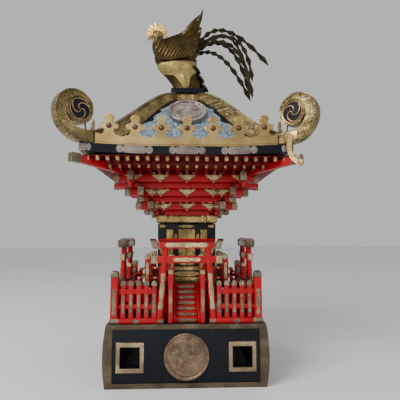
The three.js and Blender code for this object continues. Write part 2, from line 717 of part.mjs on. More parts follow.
// A feather: one flat strip of lozenges along an arching line, as wide as they are at their middles.
function feather(start, bend, tip, y) {
  const curve = new THREE.QuadraticBezierCurve(...[start, bend, tip].map(([a, b]) => new THREE.Vector2(a, b)));
  const count = 5;
  const edges = [[], []];
  for (let i = 0; i <= 2 * count; i++) {
    const t = i / (2 * count);
    const centre = curve.getPoint(t);
    const along = curve.getTangent(t);
    const reach = i % 2 ? 8 : i === 2 * count ? 0.5 : 2.5;
    edges.forEach((edge, side) => {
      const across = (side ? -1 : 1) * reach;
      edge.push([centre.x - along.y * across, centre.y + along.x * across]);
    });
  }
  return upright([...edges[0], ...edges[1].reverse()].reverse(), y - 1.2, y + 1.2);
}

function phoenixTail() {
  const root = box(37, 44, -20, 20, 1072, 1106);
  const feathers = [
    feather([40, 1102], [118, 1252], [297, 1030], 0),
    feather([40, 1096], [214, 1214], [234, 963], -9),
    feather([40, 1090], [170, 1190], [226, 930], 10),
    feather([40, 1084], [196, 1182], [232, 898], -17),
    feather([40, 1078], [132, 1126], [232, 902], 17),
  ];
  add("phoenix_tail", DARK_BRONZE, joined([root, ...feathers]));
}

baseBoards();
baseEdging();
poleFrames();
baseCrests();
fenceCorners();
gates();
flights();
veranda();
railingCorners();
sanctuaryWalls();
doors();
headBeam();
brackets();
rafters();
eaveBoard();
roof();
const aboveRoof = roofSolid(GAP);
roofCrests(aboveRoof);
crestBands();
ridges([aboveRoof, solid(eaveSlab(HIP.low, EAVE_BOARD.high + GAP))]);
cornerHook();
apex();
phoenixBody();
phoenixWings();
phoenixTail();

export default shrine;
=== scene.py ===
import json
from math import atan2, cos, pi, radians, sin, sqrt, tan

import bpy
from mathutils import Matrix, Vector

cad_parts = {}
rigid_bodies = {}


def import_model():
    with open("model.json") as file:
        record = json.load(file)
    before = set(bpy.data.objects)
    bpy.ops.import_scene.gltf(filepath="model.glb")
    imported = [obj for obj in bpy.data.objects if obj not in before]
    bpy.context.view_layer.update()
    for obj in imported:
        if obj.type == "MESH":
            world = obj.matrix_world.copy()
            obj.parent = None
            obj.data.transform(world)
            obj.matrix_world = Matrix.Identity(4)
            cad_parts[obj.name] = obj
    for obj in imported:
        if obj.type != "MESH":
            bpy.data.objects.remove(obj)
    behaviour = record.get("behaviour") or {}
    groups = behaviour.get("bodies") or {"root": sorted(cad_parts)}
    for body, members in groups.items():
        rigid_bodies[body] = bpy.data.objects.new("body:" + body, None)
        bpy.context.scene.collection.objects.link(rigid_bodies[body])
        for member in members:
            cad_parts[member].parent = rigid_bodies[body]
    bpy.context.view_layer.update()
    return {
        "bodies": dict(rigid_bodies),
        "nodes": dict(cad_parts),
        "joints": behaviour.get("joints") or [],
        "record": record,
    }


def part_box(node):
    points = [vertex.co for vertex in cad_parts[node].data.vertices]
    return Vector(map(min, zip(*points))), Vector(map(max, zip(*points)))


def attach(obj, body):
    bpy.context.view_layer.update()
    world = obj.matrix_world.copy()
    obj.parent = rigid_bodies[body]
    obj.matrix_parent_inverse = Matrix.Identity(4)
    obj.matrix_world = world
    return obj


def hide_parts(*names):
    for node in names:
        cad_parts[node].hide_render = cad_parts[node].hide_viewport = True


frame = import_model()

# The view: a camera close to the front, a little below the eaves and tilted slightly up, over a plain
# pale floor. A wide soft light stands at the upper left, and a weak one at the right.
bpy.ops.object.camera_add(location=(-0.0035, -1.235, 0.419), rotation=(radians(95.44), 0, radians(-2.29)))
camera = bpy.context.object
camera.data.lens = 32.0
bpy.context.scene.camera = camera


def soft_light(name, location, aim, size, power):
    bpy.ops.object.light_add(type="AREA", location=location)
    light = bpy.context.object
    light.name = name
    light.rotation_euler = (Vector(aim) - Vector(location)).to_track_quat("-Z", "Y").to_euler()
    light.data.size = size
    light.data.energy = power


soft_light("key_light", (-1.6, -1.7, 2.2), (0.0, 0.0, 0.6), 1.3, 78.0)
soft_light("fill_light", (1.9, -1.6, 1.1), (0.0, 0.0, 0.5), 2.2, 10.0)
soft_light("front_light", (-0.4, -2.6, 0.5), (0.0, 0.0, 0.5), 1.8, 5.0)
world = bpy.data.worlds.new("studio")
world.use_nodes = True
world.node_tree.nodes["Background"].inputs["Color"].default_value = (0.80, 0.80, 0.81, 1)
world.node_tree.nodes["Background"].inputs["Strength"].default_value = 0.75
bpy.context.scene.world = world


class Wire:
    """A socket of a material, whose sums and products add the Math nodes that they need."""

    def __init__(self, finish, socket):
        self.finish = finish
        self.socket = socket

    def math(self, operation, *others):
        inputs = dict(enumerate((self,) + others))
        return self.finish.node("ShaderNodeMath", "Value", inputs, operation=operation)

    def __add__(self, other):
        return self.math("ADD", other)

    def __sub__(self, other):
        return self.math("SUBTRACT", other)

    def __rsub__(self, other):
        return self.finish.node("ShaderNodeMath", "Value", {0: other, 1: self}, operation="SUBTRACT")

    def __mul__(self, other):
        return self.math("MULTIPLY", other)

    def above(self, low, high):
        """0 below low, 1 above high, and smooth between."""
        inputs = {"Value": self, "From Min": low, "From Max": high}
        return self.finish.node("ShaderNodeMapRange", "Result", inputs, interpolation_type="SMOOTHSTEP")


class Finish:
    """A material with its Principled shader, to which nodes are added one call at a time.

    Its slot, the class of material that a piece with this finish is made of, is not used."""

    def __init__(self, name, slot=None):
        self.material = bpy.data.materials.new(name)
        self.material.use_nodes = True
        self.tree = self.material.node_tree
        self.shader = self.tree.nodes["Principled BSDF"]
        self.place = self.node("ShaderNodeTexCoord", "Object", {})

    def node(self, kind, output, inputs, stops=None, **settings):
        made = self.tree.nodes.new(kind)
        for key, value in settings.items():
            setattr(made, key, value)
        if stops:
            while len(made.color_ramp.elements) < len(stops):
                made.color_ramp.elements.new(0.5)
            for element, (position, colour) in zip(made.color_ramp.elements, stops):
                element.position = position
                element.color = (*colour, 1)
        for key, value in inputs.items():
            self.feed(made.inputs[key], value)
        return Wire(self, made.outputs[output])

    def feed(self, socket, value):
        if isinstance(value, Wire):
            self.tree.links.new(value.socket, socket)
        elif socket.type == "RGBA":
            socket.default_value = (*value, 1)
        else:
            socket.default_value = value

    def noise(self, scale, detail=3.0):
        inputs = {"Vector": self.place, "Scale": scale, "Detail": detail}
        return self.node("ShaderNodeTexNoise", "Fac", inputs)

    def split(self, vector):
        """The three parts of a vector or a colour."""
        made = self.tree.nodes.new("ShaderNodeSeparateXYZ")
        self.feed(made.inputs[0], vector)
        return [Wire(self, output) for output in made.outputs]

    def blend(self, factor, first, second):
        """A colour between two, by the Mix node's colour sockets, which are its 7th and 8th."""
        made = self.tree.nodes.new("ShaderNodeMix")
        made.data_type = "RGBA"
        for index, value in ((0, factor), (6, first), (7, second)):
            self.feed(made.inputs[index], value)
        return Wire(self, made.outputs[2])

    def bump(self, height, distance, strength):
        inputs = {"Height": height, "Distance": distance, "Strength": strength}
        return self.node("ShaderNodeBump", "Normal", inputs)

    def set(self, **values):
        for key, value in values.items():
            self.feed(self.shader.inputs[key.replace("_", " ")], value)
        return self.material


def floor_finish():
    finish = Finish("studio_floor")
    cloudy = finish.noise(1.3, 4.0)
    colour = finish.blend(cloudy, (0.74, 0.74, 0.74), (0.85, 0.85, 0.85))
    return finish.set(Base_Color=colour, Roughness=0.75, Normal=finish.bump(finish.noise(60.0), 0.0004, 0.3))


bpy.ops.object.select_all(action="DESELECT")
bpy.ops.mesh.primitive_plane_add(size=14, location=(0, 3, 0))
floor = bpy.context.object
floor.name = "studio_floor"
floor.data.materials.append(floor_finish())

# The base box: four wooden wall boards mitred at the corners, swelling a little at mid height, with a
# square hole at each end of the two pole channels. They are coated in black lacquer, now scuffed.
MM = 0.001


def span(node):
    """A CAD node's extents along x, y and z, in millimetres."""
    low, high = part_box(node)
    return [(a / MM, b / MM) for a, b in zip(low, high)]


def about(middle, reach):
    return (middle - reach, middle + reach)


def clear():
    bpy.ops.object.select_all(action="DESELECT")


def edit():
    bpy.ops.object.mode_set(mode="EDIT")
    bpy.ops.mesh.select_all(action="SELECT")


def leave():
    bpy.ops.object.mode_set(mode="OBJECT")


def block(x, y, z, edge=0.6, steps=2):
    """A bar between the given extents, in millimetres, with its edges rounded off."""
    clear()
    bpy.ops.mesh.primitive_cube_add(size=1, location=[(a + b) / 2 * MM for a, b in (x, y, z)])
    piece = bpy.context.object
    piece.scale = [(b - a) * MM for a, b in (x, y, z)]
    bpy.ops.object.transform_apply()
    if edge:
        edit()
        bpy.ops.mesh.bevel(offset=edge * MM, segments=steps, affect="EDGES")
        leave()
    return piece


def square_block(half, z, edge, steps=2):
    return block((-half, half), (-half, half), z, edge, steps)


def cut(piece, cutter):
    """Takes the cutter's shape out of the piece."""
    carve = piece.modifiers.new("carve", "BOOLEAN")
    carve.operation = "DIFFERENCE"
    carve.object = cutter
    bpy.context.view_layer.objects.active = piece
    bpy.ops.object.modifier_apply(modifier="carve")
    bpy.data.objects.remove(cutter)
    return piece


def join(parts, finish=None):
    """Makes one object of several, with one finish for all if it is given."""
    clear()
    for part in parts:
        if finish:
            part.data.materials.clear()
            part.data.materials.append(finish)
        part.select_set(True)
    bpy.context.view_layer.objects.active = parts[0]
    if len(parts) > 1:
        bpy.ops.object.join()
    bpy.ops.object.shade_smooth_by_angle(angle=radians(35))
    return parts[0]


def turned_copy(piece, matrix):
    """A copy with its own mesh, moved by a matrix. Mirroring turns the faces round, so they are flipped."""
    copy = piece.copy()
    copy.data = piece.data.copy()
    copy.data.transform(matrix)
    if matrix.determinant() < 0:
        copy.data.flip_normals()
    bpy.context.collection.objects.link(copy)
    return copy


def shifted(piece, x=0.0, y=0.0, z=0.0):
    return turned_copy(piece, Matrix.Translation((x * MM, y * MM, z * MM)))


def quarter(turns):
    return Matrix.Rotation(turns * pi / 2, 4, "Z")


SIDES = ("front", "right", "back", "left")


def keep(piece, name, *nodes, body="shrine"):
    """Names a finished piece, attaches it to its body and hides the CAD nodes that it stands for."""
    piece.name = name
    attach(piece, body)
    if nodes:
        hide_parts(*nodes)


def quarters(piece):
    """The piece and three copies, a quarter turn apart."""
    return [piece] + [turned_copy(piece, quarter(i)) for i in (1, 2, 3)]


def four(parts, finish, names, ending="_finish", stands_for=None):
    """Joins parts and keeps the piece four times, a quarter turn apart.

    With the usual ending each stands for the CAD node of its name. The first can stand for a whole node."""
    for turns, copy in enumerate(quarters(join(parts, finish))):
        nodes = [names[turns]] if ending == "_finish" else []
        if stands_for and turns == 0:
            nodes = [stands_for]
        keep(copy, names[turns] + ending, *nodes)


def on_sides(prefix):
    return [prefix + side for side in SIDES]


def at_corners(prefix):
    return [prefix + corner for corner in ("front_left", "front_right", "back_right", "back_left")]


def black_lacquer_finish():
    finish = Finish("black_lacquer", "black_lacquer")
    haze = finish.noise(7.0, 5.0)
    scuffs = finish.noise(90.0, 6.0).above(0.60, 0.74)
    dust = finish.noise(26.0, 8.0).above(0.5, 0.8)
    colour = finish.blend(haze, (0.0022, 0.0026, 0.0042), (0.008, 0.009, 0.014))
    colour = finish.blend(scuffs * 0.35, colour, (0.04, 0.037, 0.036))
    roughness = haze * 0.16 + scuffs * 0.22 + dust * 0.12 + 0.16
    ripple = finish.bump(finish.noise(34.0, 2.0), 0.0006, 0.12)
    return finish.set(
        Base_Color=colour, Roughness=roughness, Normal=ripple, Specular_IOR_Level=0.16, Coat_Weight=0.06
    )


BLACK = black_lacquer_finish()
board = span("base_front_board")
deck = span("base_deck")
BASE_HALF = deck[0][1] + 0.3
BASE_TOP = deck[2][1]
BULGE = -board[1][0] - BASE_HALF
INNER = -board[1][1]
MITRE = 0.3
frame_left = span("pole_frame_front_left")
POLE_X = -(frame_left[0][0] + frame_left[0][1]) / 2
POLE_Z = (frame_left[2][0] + frame_left[2][1]) / 2
POLE_WIDTH, POLE_HEIGHT = 54.0, 56.0


def wall_half(z):
    """Half width of the base at a height: it swells to the middle and draws in again."""
    return BASE_HALF + BULGE * (1 - (2 * z / BASE_TOP - 1) ** 2)


def bulged_board(outwards, inwards, low, high):
    """A board across one side: a finely divided cube whose faces follow the swelling walls."""
    clear()
    bpy.ops.mesh.primitive_cube_add(size=1)
    piece = bpy.context.object
    edit()
    bpy.ops.mesh.subdivide(number_cuts=15)
    leave()
    for vertex in piece.data.vertices:
        x, y, z = vertex.co
        height = low + (z + 0.5) * (high - low)
        outer = wall_half(height) + outwards
        inner = wall_half(height) + inwards if inwards > -5 else INNER
        depth = inner + (0.5 - y) * (outer - inner)
        vertex.co = Vector((2 * x * (depth - MITRE), -depth, height)) * MM
    return piece


def pole_hole(x):
    width, height = POLE_WIDTH / 2, POLE_HEIGHT / 2
    return block(about(x, width), (-300, -150), about(POLE_Z, height), edge=0)


for turns, side in enumerate(SIDES):
    wall = bulged_board(0.0, -20.0, 0.0, board[2][1])
    if turns % 2 == 0:
        for hole_x in (-POLE_X, POLE_X):
            wall = cut(wall, pole_hole(hole_x))
    wall.data.transform(quarter(turns))
    keep(join([wall], BLACK), f"base_{side}_board_finish", f"base_{side}_board")

# The deck closes the box from above, in the same lacquer. Its edge shows only as a thin line over the
# top edging, so the board itself is plain.
keep(join([square_block(BASE_HALF - 0.3, deck[2], 0.4)], BLACK), "base_deck_finish", "base_deck")

# The base's edging: sheet bronze bent over the corners and along the top and bottom of every wall, chased
# all over with scrolling vines, rimmed with a raised bead and nailed at intervals. It has aged to brown.
STRAP = 17.0
TOP_BAND, BOTTOM_BAND = 158.0, 14.0


def vine_lines(finish, size, u, v, grooves):
    """Spirals around scattered centres on a flat pattern, as chased vines: 1 on a line, 0 between."""
    flat = finish.node("ShaderNodeCombineXYZ", "Vector", {"X": u, "Y": v, "Z": 0.0})
    inputs = {"Vector": flat, "Scale": 1.0 / (size * MM), "Randomness": 0.55}
    near = finish.node("ShaderNodeTexVoronoi", "Position", inputs, voronoi_dimensions="2D")
    offset = finish.node("ShaderNodeVectorMath", "Vector", {0: flat, 1: near}, operation="SUBTRACT")
    across, up, _ = finish.split(offset)
    reach = finish.node("ShaderNodeVectorMath", "Value", {0: offset}, operation="LENGTH")
    turn = up.math("ARCTAN2", across) + reach * (grooves * 2 * pi / (size * MM))
    return turn.math("SINE").above(0.1, 0.75)


def metal_finish(
    name, slot, dark, bright, rubbed, size, leans=False,
    roughness=0.34, grooves=3.0, relief=0.0006, metallic=1.0,
):
    """Chased sheet metal: dark in the lines, brighter where it is rubbed, with a mottled patina.

    The vines run along the walls and upwards, or on the slant if it leans."""
    finish = Finish(name, slot)
    x, y, z = finish.split(finish.place)
    u, v = (x + z * 0.6, z - x * 0.6) if leans else (x + y, z)
    lines = vine_lines(finish, size, u, v, grooves)
    patina = finish.noise(24.0, 6.0).above(0.36, 0.66)
    grime = finish.noise(160.0, 4.0).above(0.45, 0.72)
    colour = finish.blend(patina, dark, bright)
    colour = finish.blend(lines * 0.55, colour, rubbed)
    colour = finish.blend(grime * 0.35, colour, tuple(c * 0.35 for c in dark))
    roughness = grime * 0.22 + patina * -0.08 + roughness
    height = lines * 0.8 + finish.noise(420.0, 2.0) * 0.25
    metal = finish.blend(grime * 0.5, (metallic,) * 3, (metallic * 0.8,) * 3)
    return finish.set(
        Base_Color=colour, Roughness=roughness, Metallic=metal, Normal=finish.bump(height, relief, 0.7)
    )


BRONZE = metal_finish(
    "aged_bronze", "old_bronze", (0.060, 0.042, 0.026), (0.150, 0.110, 0.072), (0.30, 0.235, 0.155), 13
)


def surface(place, across, along, closed=True):
    """A grid laid out by a function of two shares, welded where it meets itself."""
    clear()
    bpy.ops.mesh.primitive_grid_add(x_subdivisions=across, y_subdivisions=along, size=1)
    piece = bpy.context.object
    for vertex in piece.data.vertices:
        vertex.co = Vector(place(vertex.co.x + 0.5, vertex.co.y + 0.5)) * MM
    edit()
    bpy.ops.mesh.remove_doubles(threshold=1e-6)
    if closed:
        bpy.ops.mesh.normals_make_consistent(inside=False)
    leave()
    return piece


def wire(points, radius, sides=6, taper=0.0):
    """A round wire along points, in millimetres, with closed ends, thinning to its ends by taper."""
    points = [Vector(p) for p in points]
    count = len(points)
    if (points[0] - points[-1]).length < 1e-6:
        tangents = [points[(i + 1) % (count - 1)] - points[i - 1 if i else count - 2] for i in range(count)]
    else:
        tangents = [points[min(i + 1, count - 1)] - points[max(i - 1, 0)] for i in range(count)]
    normal = tangents[0].orthogonal().normalized()
    rings = []
    for i, (point, tangent) in enumerate(zip(points, tangents)):
        tangent = tangent.normalized()
        normal = (normal - tangent * normal.dot(tangent)).normalized()
        share = i / (count - 1)
        thick = radius * (1 - taper * abs(2 * share - 1) ** 3)
        rings.append((point, normal.copy(), tangent.cross(normal), thick))
    last = count + 1

    def place(u, v):
        index = round(v * last)
        point, side, lift, thick = rings[min(max(index - 1, 0), count - 1)]
        thick = 0.0 if index in (0, last) else thick
        return point + side * (thick * cos(2 * pi * u)) + lift * (thick * sin(2 * pi * u))

    return surface(place, sides, last)


def wire_frame(x, y, z, radius, sides=6):
    """Four wires round a rectangle that faces the front."""
    corners = [(x[0], y, z[0]), (x[1], y, z[0]), (x[1], y, z[1]), (x[0], y, z[1])]
    return [wire(pair, radius, sides) for pair in zip(corners, corners[1:] + corners[:1])]


def hoop(x, y, z, radius, thick, steps=16, sides=6, rise=None):
    """A ring of wire that faces the front, with its own half height if rise is given."""
    turns = [2 * pi * i / steps for i in range(steps + 1)]
    return wire([(x + radius * cos(a), y, z + (rise or radius) * sin(a)) for a in turns], thick, sides)


def dome(x, y, z, radius, height, facing=(0, -1, 0), steps=8):
    """A small round stud with its flat back at a point, facing a direction."""
    turn = Vector((0, 0, 1)).rotation_difference(Vector(facing)).to_matrix().to_4x4()

    def place(u, v):
        rise = v * pi / 2 if v < 1 else pi / 2
        return (
            radius * cos(rise) * cos(2 * pi * u), radius * cos(rise) * sin(2 * pi * u), height * sin(rise)
        )

    stud = surface(place, steps, 4, closed=False)
    stud.data.transform(Matrix.Translation((x * MM, y * MM, z * MM)) @ turn)
    return stud


def edging_side():
    """One side's sheet, cut away between its bands and straps, with its beads and nails."""
    sheet = bulged_board(2.2, 0.4, 0.3, BASE_TOP)
    open_half = BASE_HALF - STRAP
    sheet = cut(sheet, block((-open_half, open_half), (-300, -150), (BOTTOM_BAND, TOP_BAND), edge=0))
    parts = [sheet]
    steps = 12
    for x in (-open_half, open_half):
        heights = [BOTTOM_BAND + (TOP_BAND - BOTTOM_BAND) * i / steps for i in range(steps + 1)]
        parts.append(wire([(x, -wall_half(z) - 2.1, z) for z in heights], 1.0))
    for z in (BOTTOM_BAND, TOP_BAND):
        parts.append(wire([(x, -wall_half(z) - 2.1, z) for x in (-open_half, 0, open_half)], 1.0))
    nails = 11
    for i in range(nails):
        x = (2 * i / (nails - 1) - 1) * (BASE_HALF - 8)
        for z in (BOTTOM_BAND / 2, (TOP_BAND + BASE_TOP) / 2):
            parts.append(dome(x, -wall_half(z) - 2.1, z, 1.5, 1.0))
    for i in range(1, 8):
        z = BOTTOM_BAND + (TOP_BAND - BOTTOM_BAND) * i / 8
        for x in (-BASE_HALF + 8, BASE_HALF - 8):
            parts.append(dome(x, -wall_half(z) - 2.1, z, 1.5, 1.0))
    return join(parts, BRONZE)


keep(join(quarters(edging_side())), "base_edging_finish", "base_metal_edging")

# The pole hole frames: square brass frames let into the walls round the ends of the pole channels, with
# a raised inner lip, a flat border and a nail in each corner. They are yellower than the edging.
BRASS = metal_finish(
    "worn_brass", "gilded_brass", (0.20, 0.145, 0.085), (0.47, 0.36, 0.21), (0.62, 0.50, 0.32), 11
)


def pole_frame():
    """A plate with its hole cut out, its outer edge bevelled, and a lip and nails added."""
    (x0, x1), (y0, y1), (z0, z1) = span("pole_frame_front_right")
    plate = block((x0, x1), (y0 + 1.4, y1 + 1.0), (z0, z1), edge=1.4, steps=3)
    plate = cut(plate, pole_hole(POLE_X))
    width, height = POLE_WIDTH / 2 + 1.6, POLE_HEIGHT / 2 + 1.6
    rim_x, rim_z = about(POLE_X, width), about(POLE_Z, height)
    parts = [plate] + wire_frame(rim_x, y0 + 1.4, rim_z, 1.3)
    out, up = (x1 - x0 - 12) / 2, (z1 - z0 - 12) / 2
    for a, b in ((-1, -1), (1, -1), (1, 1), (-1, 1)):
        parts.append(dome(POLE_X + a * out, y0 + 1.4, POLE_Z + b * up, 2.2, 1.3))
    return join(parts, BRASS)


right_frame = pole_frame()
left_frame = shifted(right_frame, x=-2 * POLE_X)
for turns, facing in ((0, "front"), (2, "back")):
    for hand, piece in (("left", left_frame), ("right", right_frame)):
        node = f"pole_frame_{facing}_{hand}"
        placed = piece if turns == 0 else turned_copy(piece, quarter(2))
        keep(placed, node + "_finish", node)

# The base crests: a cast bronze disc at the middle of every wall, with a stepped rim round three comma
# shapes that chase each other. The ground between the commas is punched all over.
crest_box = span("base_crest_front")
CREST_RADIUS = (crest_box[0][1] - crest_box[0][0]) / 2
CREST_Z = (crest_box[2][0] + crest_box[2][1]) / 2
CREST_FACE = crest_box[1][0]


def turned_disc(profile, y, x=0.0, z=0.0, steps=64):
    """A disc that faces the front: (radius, height towards the front) pairs spun round its middle."""

    def place(u, v):
        radius, rise = profile[round(v * (len(profile) - 1))]
        return (x + radius * cos(2 * pi * u), y - rise, z + radius * sin(2 * pi * u))

    return surface(place, steps, len(profile) - 1)


def comma(radius, thickness, turn, steps=22):
    """A comma that swells from a fine tail along the rim into a round head, domed like a drop."""

    def spine(share):
        angle = turn + share * 2.45
        reach = radius * (0.47 + 0.42 * share ** 0.8)
        head = radius * 0.34
        if share > 0.13:
            half = head * (1 - share) ** 0.85
        else:
            half = head * 0.89 * sqrt(1 - ((0.13 - share) / 0.13) ** 2)
        return angle, reach, max(half, 0.002)

    def place(u, v):
        angle, reach, half = spine(min(max(v, 0.0), 1.0))
        side = cos(pi * u * 2)
        rise = sin(pi * u * 2)
        lift = thickness * max(rise, 0.0) ** 0.55 * min(1.0, half / (radius * 0.12))
        distance = reach + half * side
        return (distance * cos(angle), -lift, distance * sin(angle))

    return surface(place, 16, steps)


def crest(radius, face_y, centre_z, relief, thickness):
    """The disc with its rim and three commas, at the front."""
    r = radius
    rim = [(0, -thickness), (r - 0.4, -thickness), (r, -thickness + 0.5)]
    rim += [(r, relief - 1.1), (r - 1.2, relief), (r - 4.2, relief)]
    rim += [(r - 5.4, relief - 1.5), (r - 7.6, relief - 1.5), (r - 8.4, relief - 0.7)]
    rim += [(r - 9.6, relief - 0.7), (r - 10.4, 0.0), (r * 0.4, 0.0), (0, 0.0)]
    parts = [turned_disc(rim, face_y, z=centre_z)]
    for i in range(3):
        part = comma(r - 10.5, relief - 0.2, i * 2 * pi / 3 + 0.1)
        part.data.transform(Matrix.Translation((0, face_y * MM, centre_z * MM)))
        parts.append(part)
    return parts


def crest_finish():
    finish = Finish("crest_bronze", "old_bronze")
    punched = finish.node("ShaderNodeTexVoronoi", "Distance", {"Vector": finish.place, "Scale": 620.0})
    patina = finish.noise(17.0, 6.0).above(0.35, 0.65)
    worn = finish.noise(75.0, 5.0).above(0.5, 0.72)
    colour = finish.blend(patina, (0.13, 0.088, 0.06), (0.27, 0.19, 0.125))
    colour = finish.blend(worn * 0.6, colour, (0.40, 0.30, 0.205))
    roughness = patina * -0.1 + worn * 0.1 + 0.42
    return finish.set(
        Base_Color=colour, Roughness=roughness, Metallic=1.0, Normal=finish.bump(punched, 0.0009, 0.55)
    )


CREST_METAL = crest_finish()
four(crest(CREST_RADIUS, CREST_FACE + 3.2, CREST_Z, 3.0, 4.5), CREST_METAL, on_sides("base_crest_"))

# The fence: at every corner a thick post with a run of pickets along both sides, tenoned into sills and
# tied by two rails. The wood is red lacquer. Posts and pickets have sheet bronze caps and waisted face
# plates, each held by two studs, and the sills have plates where they meet.
def red_lacquer_finish(name, shade):
    """Red lacquer, hazy and lightly chipped, made darker by painted shade from 0 to 1, for parts that lie in
    shadow.
    """
    finish = Finish(name, "red_lacquer")
    haze = finish.noise(11.0, 4.0)
    smoke = finish.noise(38.0, 6.0).above(0.55, 0.8)
    chips = finish.noise(260.0, 5.0).above(0.69, 0.75)
    light = 1 - shade
    colour = finish.blend(haze, (0.27 * light, 0.0006, 0.003 * light), (0.47 * light, 0.0015, 0.007 * light))
    colour = finish.blend(smoke * 0.45, colour, (0.12, 0.001, 0.003))
    colour = finish.blend(chips * 0.7, colour, (0.10, 0.02, 0.015))
    roughness = haze * 0.12 + smoke * 0.2 + chips * 0.2 + 0.27
    ripple = finish.bump(finish.noise(130.0, 3.0), 0.0005, 0.15)
    return finish.set(Base_Color=colour, Roughness=roughness, Normal=ripple, Specular_IOR_Level=0.28)


RED = red_lacquer_finish("red_lacquer", 0.0)
# Red lacquer with painted shade: a darker red that stands for the shadow under the eaves.
SHADE_PAINTED_RED = red_lacquer_finish("shade_painted_red_lacquer", 0.62)
PLATE = metal_finish(
    "plate_bronze", "old_bronze", (0.12, 0.095, 0.06), (0.27, 0.225, 0.145), (0.42, 0.36, 0.25), 6,
    relief=0.0004
)
GILT = metal_finish(
    "gilt_plate", "gilded_brass", (0.26, 0.19, 0.095), (0.56, 0.43, 0.22), (0.72, 0.60, 0.36), 6,
    relief=0.0004
)
fence = span("fence_front_left")
FLOOR = fence[2][0]
FENCE = -(fence[0][0] + 11)
SILL_TOP = FLOOR + 13
SILL_FRONT = fence[1][0]
POST_TOP = fence[2][1]
SILL_END = -fence[0][1]
PICKETS, PICKET_PITCH, PICKET_TOP = 5, 21.7, 286.0
RAILS = ((209.0, 221.0), (250.5, 263.0))


def round_headed(x, y, z, width, depth, head=0.5, steps=6):
    """A flat bar whose top is rounded to a half circle: its head edges are bevelled right over."""
    bar = block(about(x, width / 2), about(y, depth / 2), z, edge=0)
    edit()
    bpy.ops.mesh.select_mode(type="EDGE")
    bpy.ops.mesh.select_all(action="DESELECT")
    leave()
    top = z[1] * MM - 1e-5
    for side in bar.data.edges:
        a, b = (bar.data.vertices[i].co for i in side.vertices)
        side.select = a.z > top and b.z > top and abs(a.x - b.x) < 1e-6
    bpy.ops.object.mode_set(mode="EDIT")
    bpy.ops.mesh.bevel(offset=width * head * 0.98 * MM, segments=steps, affect="EDGES")
    bpy.ops.mesh.select_mode(type="VERT")
    leave()
    return bar


def squarish(angle, power):
    """A point at an angle round a unit square, whose corners are sharper the lower the power is."""
    return [abs(part) ** power * (1 if part >= 0 else -1) for part in (cos(angle), sin(angle))]


def domed_bar(x, y, z, width, rise=0.38):
    """A square bar with a softly domed top: its top edges are bevelled wide and its long ones a little."""

    def place(u, v):
        rings = [(0, z[0]), (1, z[0]), (1, z[1] - rise * width)]
        for turn in (0.35, 0.7, 1.05, 1.35):
            rings.append((cos(turn) ** 0.7, z[1] - rise * width * (1 - sin(turn))))
        rings.append((0, z[1]))
        scale, height = rings[round(v * (len(rings) - 1))]
        across, along = squarish(2 * pi * u, 0.22)
        return (x + across * scale * width / 2, y + along * scale * width / 2, height)

    return surface(place, 24, 7)


def outline_plate(points, y, depth, edge=0.35):
    """A flat plate of any outline in x and z, standing at y and reaching forward by depth."""
    clear()
    bpy.ops.mesh.primitive_circle_add(vertices=len(points), fill_type="NGON")
    piece = bpy.context.object
    for vertex, (x, z) in zip(piece.data.vertices, points):
        vertex.co = Vector((x, y, z)) * MM
    edit()
    bpy.ops.mesh.extrude_region_move(TRANSFORM_OT_translate={"value": (0, -depth * MM, 0)})
    if edge:
        bpy.ops.mesh.bevel(offset=edge * MM, segments=1, affect="EDGES")
    bpy.ops.mesh.select_all(action="SELECT")
    bpy.ops.mesh.normals_make_consistent(inside=False)
    leave()
    return piece


def waisted(z0, z1, half, waist, steps=20):
    """The outline of a long plate with rounded ends, drawn in halfway between its middle and its ends."""
    right = []
    for i in range(steps + 1):
        t = i / steps
        round_end = sqrt(max(0.0, 1 - (max(0.0, abs(2 * t - 1) - 0.82) / 0.18) ** 2))
        wave = waist + (1 - waist) * abs(cos(2 * pi * (t - 0.5))) ** 0.7
        right.append((half * wave * round_end, z0 + t * (z1 - z0)))
    left = [(-a, b) for a, b in reversed(right[1:-1])]
    return right + left


def plate_with_studs(x, y, z0, z1, half, studs, finish, stud=1.6, waist=0.5, lies=False):
    """A face plate and its studs, as one object; lies turns it to run along x instead of upwards."""
    points = waisted(-(z1 - z0) / 2, (z1 - z0) / 2, half, waist)
    middle = (z0 + z1) / 2
    cx, cz = x, middle
    if lies:
        points = [(b, a) for a, b in reversed(points)]
        cx, cz = middle, x
    parts = [outline_plate([(cx + a, cz + b) for a, b in points], y, 0.8)]
    for share in studs:
        along = (share - 0.5) * (z1 - z0)
        sx, sz = (cx + along, cz) if lies else (cx, cz + along)
        parts.append(dome(sx, y - 0.8, sz, stud, 1.1))
    return join(parts, finish)


def picket():
    """A picket at x = 0, and its cap, plate and studs."""
    width = 12.6
    wood = join([round_headed(0, -FENCE, (SILL_TOP - 1, PICKET_TOP), width, 9.0)], RED)
    cap = round_headed(0, -FENCE, (PICKET_TOP - 12.5, PICKET_TOP + 0.8), width + 1.6, 10.6)
    plate = plate_with_studs(0, -FENCE - 4.5, 197, 250, 4.6, (0.12, 0.88), PLATE)
    return wood, join([cap, plate], PLATE)


def fence_side():
    """The pickets, sill and rails along one side of a corner, and their metal."""
    wood, metal = picket()
    woods, metals = [], []
    for i in range(1, PICKETS + 1):
        x = -FENCE + 2.5 + i * PICKET_PITCH
        woods.append(shifted(wood, x=x))
        metals.append(shifted(metal, x=x))
    for piece in (wood, metal):
        bpy.data.objects.remove(piece)
    woods.append(block((-FENCE, -SILL_END), (SILL_FRONT, SILL_FRONT + 22), (FLOOR, SILL_TOP), edge=0.8))
    for low, high in RAILS:
        woods.append(block((-FENCE, -SILL_END - 23), about(-FENCE, 2.6), (low, high), edge=0.5))
    sill = (FLOOR + SILL_TOP) / 2
    for x in (-FENCE + 62, -SILL_END - 9):
        metals.append(plate_with_studs(
            sill, SILL_FRONT, x - 9, x + 9, 5.2, (0.2, 0.8), PLATE, waist=0.62, lies=True
        ))
    return woods, metals


